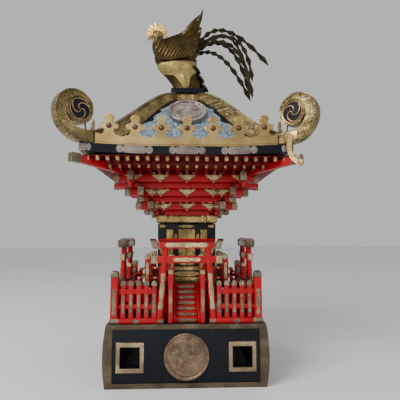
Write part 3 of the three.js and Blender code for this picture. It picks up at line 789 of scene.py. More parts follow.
def swapped(piece):
    """The mirror image across the corner's diagonal."""
    mirror = Matrix(((0, 1, 0, 0), (1, 0, 0, 0), (0, 0, 1, 0), (0, 0, 0, 1)))
    return turned_copy(piece, mirror)


def fence_corner():
    woods, metals = fence_side()
    woods += [swapped(piece) for piece in woods]
    metals += [swapped(piece) for piece in metals]
    woods.append(domed_bar(-FENCE, -FENCE, (SILL_TOP - 1, POST_TOP - 0.6), 21))
    metals.append(domed_bar(-FENCE, -FENCE, (POST_TOP - 17, POST_TOP), 22.4))
    hem = wire(
        [(-FENCE - 11, -FENCE - 11.2, POST_TOP - 17), (-FENCE + 11, -FENCE - 11.2, POST_TOP - 17)], 0.9
    )
    metals += [hem, swapped(hem)]
    face = plate_with_studs(-FENCE, -FENCE - 10.5, 192, 266, 6.4, (0.09, 0.5, 0.91), PLATE, stud=2.0)
    foot = (-FENCE - 11.6, -FENCE + 14)
    metals += [face, swapped(face), block(foot, foot, (FLOOR + 0.3, SILL_TOP + 0.8), edge=0.8)]
    return woods, metals


FENCE_CORNERS = at_corners("fence_")
woods, metals = fence_corner()
four(woods, RED, FENCE_CORNERS)
four(metals, PLATE, FENCE_CORNERS, "_fittings")

# The gates: two round columns lean together over each flight of steps. A tie beam with gilt end caps
# passes through them, and above it lies a flared top beam with a ridged black top and bronze end sleeves.
gate = span("gate_front")
GATE_FOOT, GATE_HEAD, COLUMN = 75.4, 61.0, 9.7
TOP_LOW, TOP_PEAK = 377.0, gate[2][1]
TOP_END = gate[0][1]
TIE_LOW, TIE_HIGH, TIE_END = 336.0, 356.0, 101.0
LEAN = (GATE_FOOT - GATE_HEAD) / (TOP_LOW - gate[2][0])


def column(hand):
    """A leaning round column, slightly thicker at its foot, that stops inside the top beam."""
    low, high = gate[2][0], TOP_LOW + 6

    def place(u, v):
        rings = [(0, low), (COLUMN, low), (COLUMN, low + 4)]
        rings += [(COLUMN - 0.4, (low + high) / 2), (COLUMN - 0.6, high), (0, high)]
        radius, z = rings[round(v * 5)]
        centre = hand * (GATE_FOOT - LEAN * (z - low))
        return (centre + radius * cos(2 * pi * u), -FENCE + radius * sin(2 * pi * u), z)

    return surface(place, 28, 5)


def ridged_beam(x0, x1, grow, flare):
    """A five-sided beam along x from x0 to x1, thicker all round by grow, its ends cut on the slant."""
    half, low, shoulder = 12.2 + grow, TOP_LOW + 0.4 - grow, TOP_LOW + 21 + grow
    section = [
        (-half, low), (half, low), (half, shoulder), (0, TOP_PEAK - 1 + grow * 0.6), (-half, shoulder)
    ]
    clear()
    bpy.ops.mesh.primitive_circle_add(vertices=5, fill_type="NGON")
    beam = bpy.context.object
    for vertex, (y, z) in zip(beam.data.vertices, section):
        vertex.co = Vector((x0, -FENCE + y, z)) * MM
    edit()
    bpy.ops.mesh.extrude_region_move(TRANSFORM_OT_translate={"value": ((x1 - x0) * MM, 0, 0)})
    bpy.ops.mesh.select_all(action="SELECT")
    bpy.ops.mesh.normals_make_consistent(inside=False)
    bpy.ops.mesh.bevel(offset=0.7 * MM, segments=2, affect="EDGES")
    leave()
    for vertex in beam.data.vertices:
        rise = (vertex.co.z / MM - TOP_LOW) / (TOP_PEAK - TOP_LOW)
        outer = x1 if abs(vertex.co.x / MM - x1) < abs(vertex.co.x / MM - x0) else x0
        vertex.co.x += (1 if outer > 0 else -1) * flare * rise * MM
    return beam


def handed(hand, near, far):
    """Extents along x on the left, if hand is -1, or on the right, if it is 1."""
    return sorted((hand * near, hand * far))


def gate_pieces():
    woods = [column(-1), column(1), ridged_beam(-82, 82, 0.0, 0.0)]
    woods.append(block((-TIE_END + 15, TIE_END - 15), about(-FENCE, 6.6), (TIE_LOW, TIE_HIGH), edge=0.7))
    blacks = [block((-80, 80), about(-FENCE, 13.0), (TOP_LOW + 19.6, TOP_LOW + 22.6), edge=0.5)]
    metals, gilts = [], []
    for hand in (-1, 1):
        metals.append(ridged_beam(*handed(hand, 79, TOP_END - 12), 0.9, 11.0))
        metals.append(ridged_beam(*handed(hand, 77.5, 80), 1.7, 0.0))
        gilts.append(block(
            handed(hand, TIE_END - 17, TIE_END), about(-FENCE, 7.6), (TIE_LOW - 0.8, TIE_HIGH + 0.8),
            edge=1.2
        ))
    gilts += gate_plates() + [flipped_through(face) for face in gate_plates()]
    return woods, blacks, metals, gilts


def column_plate(low, high, half):
    """A sheet wrapped round an upright column's front, drawn in between its two lobes."""

    def place(u, v):
        share = min(max((v - 0.05) / 0.9, 0.0), 1.0)
        round_end = sqrt(max(0.0, 1 - (max(0.0, abs(2 * share - 1) - 0.86) / 0.14) ** 2))
        reach = half * (0.55 + 0.45 * abs(cos(2 * pi * (share - 0.5))) ** 0.7) * round_end
        if v in (0.0, 1.0):
            reach = 0.0
        angle = reach / COLUMN * cos(2 * pi * u)
        radius = COLUMN + (0.7 if sin(2 * pi * u) >= 0 else -0.5)
        return (radius * sin(angle), -radius * cos(angle), low + share * (high - low))

    return surface(place, 20, 40)


def flipped_through(piece):
    """Turns a plate round to the gate's inner face."""
    centred = Matrix.Translation((0, FENCE * MM, 0))
    piece.data.transform(centred.inverted() @ Matrix.Rotation(pi, 4, "Z") @ centred)
    return piece


def gate_plates():
    """The plates on one face: long ones on the beams and waisted ones that lean with the columns."""
    plates = [
        plate_with_studs(
            TOP_LOW + 10.5, -FENCE - 12.4, -63, 63, 6.8, (0.05, 0.95), GILT, stud=1.8, waist=0.82, lies=True
        ),
        plate_with_studs(
            (TIE_LOW + TIE_HIGH) / 2, -FENCE - 6.7, -40, 40, 5.6, (0.06, 0.94), GILT, waist=0.8, lies=True
        ),
    ]
    for hand in (-1, 1):
        studs = [dome(0, -COLUMN - 0.6, z, 2.2, 1.5) for z in (214, 240, 276, 302)]
        face = join([column_plate(207, 309, 7.0)] + studs)
        for vertex in face.data.vertices:
            z = vertex.co.z / MM
            vertex.co.y -= FENCE * MM
            vertex.co.x += hand * (GATE_FOOT - LEAN * (z - gate[2][0])) * MM
        plates.append(face)
    return plates


woods, blacks, metals, gilts = gate_pieces()
GATES = on_sides("gate_")
four(woods, RED, GATES)
four(blacks, BLACK, GATES, "_top_edge")
four(metals, PLATE, GATES, "_sleeves")
four(gilts, GILT, GATES, "_plates")

# The steps: on each side seven boards rise between two sloping stringers, from a pair of newel posts up
# to the veranda. They are red lacquer. Each riser has a long brass plate, the newels wear domed gilt caps
# and waisted plates, and two round handrails run up each side.
stair = span("steps_front")
STEPS = 7
NEWEL_X, NEWEL_Y, NEWEL_TOP = 45.5, FENCE, stair[2][1]
STAIR_FOOT, STAIR_LOW = -FENCE + 5, FLOOR
veranda = span("veranda_floor")
VERANDA_TOP = veranda[2][1]
VERANDA_HALF = veranda[0][1]
STAIR_HEAD = -VERANDA_HALF - 0.3
RISE = (VERANDA_TOP - STAIR_LOW) / STEPS
GOING = (STAIR_HEAD - STAIR_FOOT) / STEPS
RAIL_LINE, RAIL_POST, RAIL_TOP, RAIL_GATE = 120.0, 17.0, 357.0, 45.0
RAIL_HEIGHTS = (288.0, 318.0)


def upright_across(outline, x, thick, edge):
    """A plate of an outline in distance from the middle and height, whose right face is at x."""
    plate = outline_plate(outline, 0, thick, edge)
    plate.data.transform(Matrix.Translation((x * MM, 0, 0)) @ Matrix.Rotation(-pi / 2, 4, "Z"))
    return plate


def handrail(x, drop, shares, radius):
    """A length of a round handrail, by shares of the way up; the lower rail lies lower by drop."""
    start = Vector((x, -NEWEL_Y + 6, 266 - drop))
    end = Vector((x, -RAIL_LINE - RAIL_POST / 2 - 0.4, 314 - drop))
    return wire([start.lerp(end, share) for share in shares], radius, sides=12)


def stair_wood():
    woods = []
    for i in range(STEPS):
        front = STAIR_FOOT + i * GOING
        top = STAIR_LOW + (i + 1) * RISE
        woods.append(block((-31, 31), (front - 1.2, STAIR_HEAD), (top - 4.5, top), edge=0.9))
        woods.append(block((-30.5, 30.5), (front, STAIR_HEAD), (top - RISE, top - 4), edge=0.2))
    for hand in (-1, 1):
        x0, x1 = handed(hand, 31, 37.5)
        outline = [(STAIR_FOOT - 4, STAIR_LOW), (STAIR_HEAD, STAIR_LOW), (STAIR_HEAD, VERANDA_TOP)]
        outline += [(STAIR_HEAD - 2, VERANDA_TOP + 3), (STAIR_FOOT - 4, STAIR_LOW + RISE + 4)]
        woods.append(upright_across([(-y, z) for y, z in outline], x1, x1 - x0, 0.6))
        woods.append(domed_bar(hand * NEWEL_X, -NEWEL_Y, (STAIR_LOW, NEWEL_TOP - 0.6), 14.0))
        for drop in (0, 27):
            woods.append(handrail(hand * NEWEL_X, drop, (0.0, 0.5, 1.0), 3.1))
    return woods


def stair_metal():
    """Hexagonal plates with a stud at each end on the risers, and the newels' caps, bands and plates."""
    gilts, risers = [], []
    for i in range(STEPS):
        z = STAIR_LOW + (i + 0.5) * RISE - 1.5
        y = STAIR_FOOT + i * GOING
        outline = [(-24, z), (-20, z - 4.0), (20, z - 4.0), (24, z), (20, z + 4.0), (-20, z + 4.0)]
        risers.append(outline_plate(outline, y, 0.9, edge=0.35))
        for x in (-27.3, 27.3):
            risers.append(dome(x, y, z, 2.3, 1.6))
        risers.append(wire([(-18, y - 1.0, z), (0, y - 1.2, z), (18, y - 1.0, z)], 0.9, taper=0.6))
    for hand in (-1, 1):
        x = hand * NEWEL_X
        gilts.append(domed_bar(x, -NEWEL_Y, (NEWEL_TOP - 13, NEWEL_TOP), 15.0))
        risers.append(plate_with_studs(x, -NEWEL_Y - 7.0, 196, 264, 5.2, (0.08, 0.5, 0.92), PLATE, stud=1.8))
        for drop in (0, 27):
            for share in (0.16, 0.86):
                risers.append(handrail(x, drop, (share - 0.07, share, share + 0.07), 3.7))
    return gilts, risers


FLIGHTS = on_sides("steps_")
four(stair_wood(), RED, FLIGHTS)
gilts, risers = stair_metal()
four(gilts, GILT, FLIGHTS, "_caps")
four(risers, PLATE, FLIGHTS, "_plates")

# The podium and the veranda: a red box carries a black board that juts out all round, edged with a thin
# gilt strip. At the veranda's corners stand railings of square posts and two round rails, open to the steps.
keep(join([block(*span("podium"), edge=1.2)], RED), "podium_finish", "podium")
keep(join([block(*veranda, edge=1.6, steps=3)], BLACK), "veranda_finish", "veranda_floor")


def veranda_brackets():
    """Little struts from the podium out to the veranda's edge, two on either side of the steps."""
    outline = [(92, 233), (100, 236), (118, 252), (118, 256.8), (92, 256.8)]
    return [upright_across(outline, x + 3.5, 7, 0.6) for x in (-84, -64, 64, 84)]


four(veranda_brackets(), RED, on_sides("veranda_struts_"), "")
RAIL_FLOOR = VERANDA_TOP + 0.3


def railing_corner():
    """The corner post, the two gate posts and the rails between, with their metal."""
    corner = (-RAIL_LINE, -RAIL_LINE)
    ends = [(-RAIL_GATE, -RAIL_LINE), (-RAIL_LINE, -RAIL_GATE)]
    woods, gilts = [], []
    for x, y in [corner] + ends:
        woods.append(domed_bar(x, y, (RAIL_FLOOR, RAIL_TOP - 0.8), RAIL_POST - 1.0))
        gilts.append(domed_bar(x, y, (RAIL_TOP - 15, RAIL_TOP), RAIL_POST + 0.2))
        for turn in (0, 1):
            plate = plate_with_studs(0, -RAIL_POST / 2 + 0.4, 280, 332, 4.8, (0.1, 0.5, 0.9), GILT, stud=1.6)
            plate.data.transform(Matrix.Translation((x * MM, y * MM, 0)) @ quarter(-turn))
            gilts.append(plate)
    for end in ends:
        for z in RAIL_HEIGHTS:
            ahead = Vector((*end, z - 4))
            points = [Vector((*corner, z - 4)).lerp(ahead, share) for share in (0.0, 0.5, 1.0)]
            woods.append(wire(points, 3.5, sides=12))
            for share in (0.3, 0.7):
                points = [Vector((*corner, z - 4)).lerp(ahead, share + step) for step in (-0.05, 0.0, 0.05)]
                gilts.append(wire(points, 4.1, sides=12))
        middle = Vector((*corner, 0)).lerp(Vector((*end, 0)), 0.5)
        woods.append(block(about(middle.x, 3), about(middle.y, 3), (RAIL_FLOOR, RAIL_HEIGHTS[1] - 6)))
    return woods, gilts


RAIL_CORNERS = at_corners("railing_")
woods, gilts = railing_corner()
four(woods, RED, RAIL_CORNERS)
four(gilts, GILT, RAIL_CORNERS, "_plates")

# The sanctuary: four walls round an empty room. Its frame is black lacquered wood with cast brass mounts,
# its sunk panels are brass sheet chased with scrolls, and a doorway opens at the front.
walls = span("sanctuary_walls")
WALL_HALF = walls[0][1]
WALL_FOOT, WALL_TOP = walls[2]
DOOR_HALF, DOOR_LOW, DOOR_HIGH = 26.5, 320.0, 434.0
PANEL = (43.0, 66.0)
GOLD = metal_finish(
    "bright_brass", "gilded_brass", (0.17, 0.104, 0.03), (0.55, 0.37, 0.125), (0.88, 0.68, 0.34), 9,
    roughness=0.28
)


def wall_shell():
    """The four walls as one hollow box, with the doorway and the panels' recesses cut into it."""
    outer = square_block(WALL_HALF, (WALL_FOOT, WALL_TOP), 0.8)
    shell = cut(outer, square_block(WALL_HALF - 12, (WALL_FOOT - 5, WALL_TOP + 5), 0))
    shell = cut(shell, block((-DOOR_HALF, DOOR_HALF), (-2 * WALL_HALF, 0), (DOOR_LOW, DOOR_HIGH), edge=0))
    for turns in range(4):
        openings = [(-PANEL[1], -PANEL[0]), PANEL] + ([(-DOOR_HALF, DOOR_HALF)] if turns else [])
        for span_x in openings:
            recess = block(span_x, (-WALL_HALF - 5, -WALL_HALF + 3), (DOOR_LOW, DOOR_HIGH), edge=0)
            recess.data.transform(quarter(turns))
            shell = cut(shell, recess)
    return shell


keep(join([wall_shell()], BLACK), "sanctuary_walls_finish", "sanctuary_walls")


def oval_mount(x, z, half_x, half_z, y):
    """A cast mount: a pointed oval plate with a raised rib down its middle and a stud at each end."""
    steps = 28
    outline = []
    for i in range(steps):
        angle = 2 * pi * i / steps
        wave = 1 + 0.09 * cos(6 * angle)
        outline.append((
            x + half_x * wave * cos(angle) * (1 - 0.15 * sin(angle) ** 2), z + half_z * wave * sin(angle)
        ))
    parts = [outline_plate(outline, y, 0.9, edge=0.35)]
    reach_x, reach_z = (half_x, 0) if half_x > half_z else (0, half_z)
    rib = [(x - reach_x * 0.6, y - 1.0, z - reach_z * 0.6), (x, y - 1.5, z)]
    rib.append((x + reach_x * 0.6, y - 1.0, z + reach_z * 0.6))
    parts.append(wire(rib, 0.8, taper=0.8))
    for share in (-0.78, 0.78):
        parts.append(dome(x + share * reach_x, y - 0.9, z + share * reach_z, 1.3, 1.0))
    return parts


def panel_relief(x0, x1, z0, z1, y):
    """A brass sheet in a recess: a beaded border and two rows of raised scrolls."""
    parts = [block((x0, x1), (y - 0.8, y), (z0, z1), edge=0.2)]
    parts += wire_frame((x0 + 1.6, x1 - 1.6), y - 0.9, (z0 + 1.6, z1 - 1.6), 0.8)
    columns = 1 if x1 - x0 < 30 else 2
    rows = 6
    for row in range(rows):
        for column in range(columns):
            cx = x0 + (x1 - x0) * (column + 0.5) / columns
            cz = z0 + (z1 - z0) * (row + 0.5) / rows
            hand = 1 if (row + column) % 2 else -1
            curl = []
            for i in range(20):
                angle = i * 0.42
                reach = (7.4 - 0.33 * i) * (x1 - x0) / columns / 23
                curl.append((cx + hand * reach * cos(angle), y - 1.0 - 0.04 * i, cz + reach * sin(angle)))
            parts.append(wire(curl, 0.75, sides=6, taper=0.5))
    return parts


def wall_metal(doorway):
    """One side's mounts: base board, dark band with an oval mount, sill, panels and corner fittings."""
    front = -WALL_HALF
    golds = [block(
        (-WALL_HALF - 0.9, WALL_HALF + 0.9), (front - 0.9, front + 0.5), (WALL_FOOT, 283), edge=0.4
    )]
    golds += oval_mount(0, 293, 48, 8, front)
    golds.append(block(
        (-WALL_HALF - 1.6, WALL_HALF + 1.6), (front - 1.6, front + 0.5), (304.5, 316), edge=0.6
    ))
    for hand in (-1, 1):
        x0, x1 = handed(hand, PANEL[0], PANEL[1])
        golds += panel_relief(x0, x1, DOOR_LOW, DOOR_HIGH, front + 3)
        golds += oval_mount(hand * 79, 372, 7, 16, front)
        golds += oval_mount(hand * 78, 443, 11, 4.6, front)
        golds += oval_mount(hand * 79, 293, 9, 6, front)
        golds += oval_mount(hand * 35, 340, 4.6, 10, front)
        golds += oval_mount(hand * 35, 410, 4.6, 10, front)
    golds += oval_mount(0, 443, 26, 4.6, front)
    if not doorway:
        golds += panel_relief(-DOOR_HALF, DOOR_HALF, DOOR_LOW, DOOR_HIGH, front + 3)
    return golds


keep(join(wall_metal(True), GOLD), "wall_mounts_front")
side_mounts = join(wall_metal(False), GOLD)
side_mounts.data.transform(quarter(1))
for turns, side in enumerate(SIDES[1:]):
    keep(turned_copy(side_mounts, quarter(turns)) if turns else side_mounts, f"wall_mounts_{side}")

# The doors: two leaves of chased brass on a wooden core, each on two barrel hinges at its outer edge, with
# a bright bar down its meeting edge and a small ring to pull it by.
HINGE_X, HINGE_Y = 26.0, -93.8


def door_leaf(hand):
    x0, x1 = handed(hand, 0.25, 26.2)
    front = -WALL_HALF
    parts = [block((x0, x1), (front, front + 5), (DOOR_LOW + 0.5, DOOR_HIGH - 0.5), edge=0.4)]
    parts += wire_frame((x0 + 2, x1 - 2), front, (DOOR_LOW + 2.5, DOOR_HIGH - 2.5), 0.9, sides=8)
    edge = hand * 2.2
    parts.append(wire(
        [(edge, front - 0.3, DOOR_LOW + 3), (edge, front - 0.3, DOOR_HIGH - 3)], 1.5, sides=10
    ))
    middle = (x0 + x1) / 2
    for low, high in ((DOOR_LOW + 6, 352), (356, 398), (402, DOOR_HIGH - 6)):
        parts += wire_frame((x0 + 5, x1 - 5), front, (low, high), 0.6)
        for i in range(-1, 2):
            z = (low + high) / 2 + i * (high - low) * 0.3
            bend = (high - low) * 0.12
            curl = []
            for t in range(14):
                curl.append((
                    middle + 5.4 * cos(t * 0.5) * (1 - t / 16), front - 0.3, z + bend * sin(t * 0.5)
                ))
            parts.append(wire(curl, 0.6, sides=6, taper=0.5))
    for z in (340, 402):
        x = hand * HINGE_X
        parts.append(wire([(x, HINGE_Y, z - 6), (x, HINGE_Y, z), (x, HINGE_Y, z + 6)], 1.8, sides=16))
        parts.append(block(sorted((x, x - hand * 9)), (HINGE_Y - 0.4, front + 1), about(z, 6), edge=0.4))
        parts += [dome(x - hand * 6, HINGE_Y - 0.4, z + dz, 0.8, 0.6) for dz in (-3, 3)]
    loop = [
        (hand * 5.5 + 2.2 * sin(a), front - 1.2, 374 + 2.4 * cos(a))
        for a in [i * pi / 8 for i in range(17)]
    ]
    parts.append(wire(loop, 0.5, sides=6))
    return join(parts, GOLD)


for hand, name in ((-1, "door_left"), (1, "door_right")):
    keep(door_leaf(hand), name + "_finish", name, body=name)

# The head beam: a chased gilt beam on top of the walls, between square corner blocks that swell like
# cushions, under a dark row of small bearing blocks.
head = span("head_beam")
HEAD_LOW, HEAD_TOP = head[2]


def cushion(x, y, z, width, height, power=3.2, steps=28):
    """A block whose sides bulge all round."""

    def place(u, v):
        rise = -1 + 2 * v
        reach = max(0.0, 1 - abs(rise) ** power) ** (1 / power)
        across, along = squarish(2 * pi * u, 0.4)
        return (x + reach * across * width / 2, y + reach * along * width / 2, z + rise * height / 2)

    return surface(place, steps, 14)


def head_side():
    golds = [block((-66, 66), (-91, -60), (HEAD_LOW + 3, 477), edge=2.2, steps=4)]
    golds.append(cushion(-80, -80, (HEAD_LOW + HEAD_TOP) / 2 + 1, 37, HEAD_TOP - HEAD_LOW + 3))
    golds += [cushion(x, -88, (HEAD_LOW + HEAD_TOP) / 2, 13, 27) for x in (-50, 50)]
    for z in (457, 474):
        golds.append(wire([(-64, -91.4, z), (0, -91.4, z), (64, -91.4, z)], 1.0))
    return golds


def head_blocks():
    darks = [block((-80, 80), (-93, -60), (477.5, HEAD_TOP), edge=0.6)]
    for i in range(-6, 7):
        darks.append(block(about(i * 11, 3.6), (-95.2, -90), (478.3, HEAD_TOP), edge=0.7))
    return darks


HEAD_PARTS = on_sides("head_beam_")
four(head_side(), GOLD, HEAD_PARTS, "", "head_beam")
four(head_blocks(), PLATE, HEAD_PARTS, "_blocks")

# The bracket tiers: three layers of crossed red beams, each standing out further than the one below, with
# gilt bracket arms on their faces. The beam ends wear bronze sleeves with a domed stud. Small bearing
# blocks with bright tips stand above and below every arm.
# Name, then half lengths of the bearers, line of the beams and their half length, foot, places of the
# arms, and reach of the stub ends, in millimetres.
TIERS = (
    ("lower", 100.0, 117.0, 160.0, 495.0, (-97, -71, 0, 71, 97), 131.0),
    ("middle", 130.0, 145.0, 190.0, 535.0, (-106, -80, 0, 80, 106), 147.0),
    ("upper", 158.0, 172.0, 219.0, 575.0, (-160, -80, 0, 80, 160), 217.0),
)
BEAM_DEPTH = 16.0


def arm_outline(width, height):
    """Half steps from the foot out to the top, mirrored: each step is a small rounded cusp."""
    right = []
    steps = 4
    for i in range(steps):
        low = height * i / steps
        half = width / 2 * (0.36 + 0.64 * i / (steps - 1))
        right += [(half - 2.6, low), (half - 0.6, low + height * 0.05)]
        right += [(half, low + height * 0.13), (half - 0.4, low + height / steps * 0.98)]
    return right + [(-x, z) for x, z in reversed(right)]


def bracket_arm(x, line, low, high):
    """One arm on a beam's face: a stepped gilt plate with raised scrolls, as a list of metal parts."""
    height = (high - low) * 0.66
    foot = low + (high - low) * 0.16
    arm = outline_plate([(x + a, foot + b) for a, b in arm_outline(52, height)], -line, 7.0, edge=0.7)
    scrolls = []
    for hand in (-1, 1):
        curl = []
        for i in range(16):
            angle = i * 0.45
            reach = 5.6 * (1 - i / 22)
            z = foot + height * 0.68 + reach * 0.62 * sin(angle)
            curl.append((x + hand * (12 - reach * cos(angle)), -line - 7.2, z))
        scrolls.append(wire(curl, 0.8, sides=6, taper=0.6))
    rim = [(x + step, -line - 7, foot + height - 1.4) for step in (-24, 0, 24)]
    return [arm, wire(rim, 0.9, sides=6)] + scrolls


def bearing_block(x, y, z):
    """A small red block that narrows downwards, and its bright tip."""
    block_piece = block(about(x, 4.4), (y, y + 8), (z, z + 7.5), edge=0.8)
    for vertex in block_piece.data.vertices:
        if vertex.co.z / MM < z + 2.2:
            vertex.co.x = (x + (vertex.co.x / MM - x) * 0.62) * MM
    tip = block(about(x, 3.2), (y - 0.8, y + 1), (z + 2.6, z + 7), edge=0.4)
    return block_piece, tip


def tier_side(bearer, line, half, low, arms, stub):
    """The beam, arms, blocks and stub ends on one side of a tier, sorted by what they are made of."""
    high = low + (25 if line > 160 else 24 if line > 130 else 22)
    woods = [block((-half, half), (-line, -line + BEAM_DEPTH), (low, high), edge=0.8)]
    golds, bronzes, tips = [], [], []
    for x in arms:
        golds += bracket_arm(x, line, low, high)
        places = [(x, low - 4.5)] + [(x + step, high - 4.2) for step in (-20, 0, 20)]
        for bx, bz in places:
            wood, tip = bearing_block(bx, -line - 7.5, bz)
            woods.append(wood)
            tips.append(tip)
    middle = (low + high) / 2
    for hand in (-1, 1):
        bronzes.append(block(
            handed(hand, half - 17, half - 2), (-line - 1.2, -line + BEAM_DEPTH + 1.2),
            (low - 1.2, high + 1.2), edge=0.9
        ))
        bronzes.append(block(
            handed(hand, half - 3, half + 0.4), (-line + 0.4, -line + BEAM_DEPTH - 0.4),
            (low + 0.4, high - 0.4), edge=0.8
        ))
        bronzes.append(dome(
            hand * (half + 0.4), -line + BEAM_DEPTH / 2, middle, 4.2, 2.2, facing=(hand, 0, 0), steps=16
        ))
        for z in about(middle, 6):
            bronzes.append(dome(hand * (half - 9.5), -line - 1.2, z, 1.5, 1.1))
        x0, x1 = handed(hand, bearer - 12, stub)
        depth = -line + 3 if line < 160 else -line + 2
        woods.append(block((x0, x1), (depth, depth + 11), (low - 16, low - 3.5), edge=0.6))
        if line < 160:
            bronzes.append(block(
                handed(hand, stub - 13, stub + 0.8), (depth - 0.8, depth + 11.8), (low - 16.8, low - 2.7),
                edge=0.8
            ))
    woods.append(block((-bearer, bearer), (-bearer, -bearer + 30), (low - 17, low), edge=0.8))
    count = int(bearer // 13)
    for i in range(-count + 1, count):
        if abs(i * 13) < bearer - 6:
            woods.append(block(
                about(i * 13, 3.4), (-bearer - 3.0, -bearer + 2), (low - 9.5, low - 1.5), edge=0.6
            ))
    return woods, golds, bronzes, tips


TIER_FINISHES = (("wood", RED), ("arms", GILT), ("sleeves", PLATE), ("tips", GOLD))
for name, bearer, line, half, low, arms, stub in TIERS:
    groups = tier_side(bearer, line, half, low, arms, stub)
    for (part, finish), pieces in zip(TIER_FINISHES, groups):
        node = f"bracket_tier_{name}" if part == "wood" else None
        four(pieces, finish, on_sides(f"{name}_tier_{part}_"), "", node)

# The rafters: two rows of thin red bars lie under red boards, the lower row sloping and the upper one
# level, and each bar of the upper row ends in a pale gilt tip. A stout hip beam with a bronze cap runs
# out under every corner.
RAFTER_PITCH, RAFTER_WIDTH, RAFTER_TIP = 27.1, 9.0, 278.0
RAFTER_LOW, RAFTER_HIGH = 618.0, 631.0
EAVE = 289.0
HIP_TIP, HIP_WIDTH = 307.0, 15.0


def soffit_board():
    """The boards above the rafters, as a shallow square funnel with a step where the upper row begins."""
    levels = [(0, 601.5), (150, 601.5), (238, 613), (238, 630.2), (283, 630.6), (283, 631.8), (0, 631.8)]
    return squared(levels, 64, 0.0)


def squared(levels, around, lift):
    """A square shell through (half width, height) pairs; its corners rise by lift times upturn."""

    def place(u, v):
        half, z = levels[round(v * (len(levels) - 1))]
        return around_square(u, half, z, lift)

    return surface(place, around, len(levels) - 1)


def around_square(u, half, z, lift):
    """A point at a share u of the way round a square of a given half width, raised towards its corners."""
    side = int(min(u * 4, 3.999999))
    share = (u * 4 - side) * 2 - 1
    point = Vector((half * share, -half, z + lift * upturn(half, abs(share))))
    return quarter(side) @ point


LEVEL_PART = tan(pi / 8)


def upturn(half, along):
    """The eaves' rise: none along a side's middle, and 8 mm at the corner."""
    return 8.0 * (half / EAVE) ** 4 * max(0.0, along - LEVEL_PART) / (1 - LEVEL_PART)


def rafter_side():
    """One side's bars and gilt tips; towards the corners the bars start from the hip beams."""
    woods, tips = [], []
    for i in range(-10, 11):
        x = i * RAFTER_PITCH * 0.995
        width = RAFTER_WIDTH / 2
        if abs(i) < 10:
            root = max(abs(x) + 2, 236.0)
            woods.append(block(
                about(x, width), (-RAFTER_TIP + 1, -root), (RAFTER_LOW, RAFTER_HIGH), edge=0.5
            ))
        tip_y, tip_z = (-RAFTER_TIP - 1.0, -RAFTER_TIP + 1.5), (RAFTER_LOW - 0.4, RAFTER_HIGH - 0.2)
        tips.append(block((x - width - 0.3, x + width + 0.3), tip_y, tip_z, edge=0.6))
        if abs(i) <= 8:
            root = max(abs(x) + 2, 152.0)
            inner, outer = (590 + (y - 150) * 0.135 for y in (root, 246))
            outline = [(root, inner), (246, outer), (246, outer + 12), (root, inner + 12)]
            woods.append(upright_across(outline, x + 4, 8.0, 0.5))
            tips.append(block(about(x, 3.6), (-247.0, -245.4), (outer + 0.8, outer + 11.2), edge=0.4))
    return woods, tips


def hip_beam():
    """A beam out along the diagonal, in red, with its bronze cap; both are laid along x and then turned."""
    start, tip = 150 * sqrt(2), HIP_TIP * sqrt(2)
    half = HIP_WIDTH / 2
    outline = [(start, 588), (tip - 4, 611), (tip - 4, 630.8), (start, 612)]
    beam = outline_plate(outline, half, HIP_WIDTH, edge=0.6)
    cap = block((tip - 26, tip + 0.6), (-half - 2.6, half + 2.6), (608.6, 632.4), edge=1.4, steps=3)
    bands = [
        block((x, x + 2.4), (-half - 3.4, half + 3.4), (607.8, 632.8), edge=0.5)
        for x in (tip - 26, tip - 4)
    ]
    cap = join([cap] + bands)
    for piece in (beam, cap):
        piece.data.transform(Matrix.Rotation(-pi / 4, 4, "Z"))
    return beam, cap


hip, hip_cap = hip_beam()
woods, tips = rafter_side()
# The rafter bars wear the red lacquer with painted shade, for the shadow under the eaves.
four(woods, SHADE_PAINTED_RED, on_sides("rafters_"), "")
four([hip], RED, [f"hip_beam_{i}" for i in range(1, 5)], "")
# The soffit boards wear the red lacquer with painted shade, for the shadow under the eaves.
keep(join([soffit_board()], SHADE_PAINTED_RED), "soffit", "rafters")
four(tips, GOLD, on_sides("rafter_tips_"), "")
four([hip_cap], PLATE, [f"hip_cap_{i}" for i in range(1, 5)], "")

# The eave board: a deep black lacquered board round the foot of the roof, level along its middle and
# rising to the corners, with cast bronze mounts: three on each side and one wrapped round each corner.
BOARD_LOW, BOARD_HIGH = 632.3, 656.0


def eave_ring():
    levels = [(0, BOARD_LOW), (EAVE - 1, BOARD_LOW), (EAVE, BOARD_LOW + 1)]
    levels += [(EAVE, BOARD_HIGH - 1), (EAVE - 1, BOARD_HIGH), (0, BOARD_HIGH)]
    return squared(levels, 128, 1.0)


keep(join([eave_ring()], BLACK), "eave_board_finish", "eave_board")
MAUVE = metal_finish(
    "mauve_bronze", "old_bronze", (0.17, 0.125, 0.105), (0.34, 0.27, 0.235), (0.50, 0.43, 0.38), 7,
    metallic=0.85
)


def mount_half(reach, half_length, half_height):
    """Half height of a mount along its length: a long body, a notch, and a three-lobed end."""
    inner = half_length * 0.56
    notch = half_length * 0.66
    if reach < inner:
        return half_height * (0.80 + 0.2 * sqrt(max(0.0, 1 - (reach / inner) ** 8)))
    if reach < notch:
        return half_height * (0.80 - 0.25 * (reach - inner) / (notch - inner))
    share = (reach - notch) / (half_length - notch)
    lobe = half_height * max(0.02, 0.55 + 0.5 * sin(pi * share ** 0.75) ** 0.8 * (1 - 0.2 * share))
    return lobe if share < 0.94 else lobe * 0.35


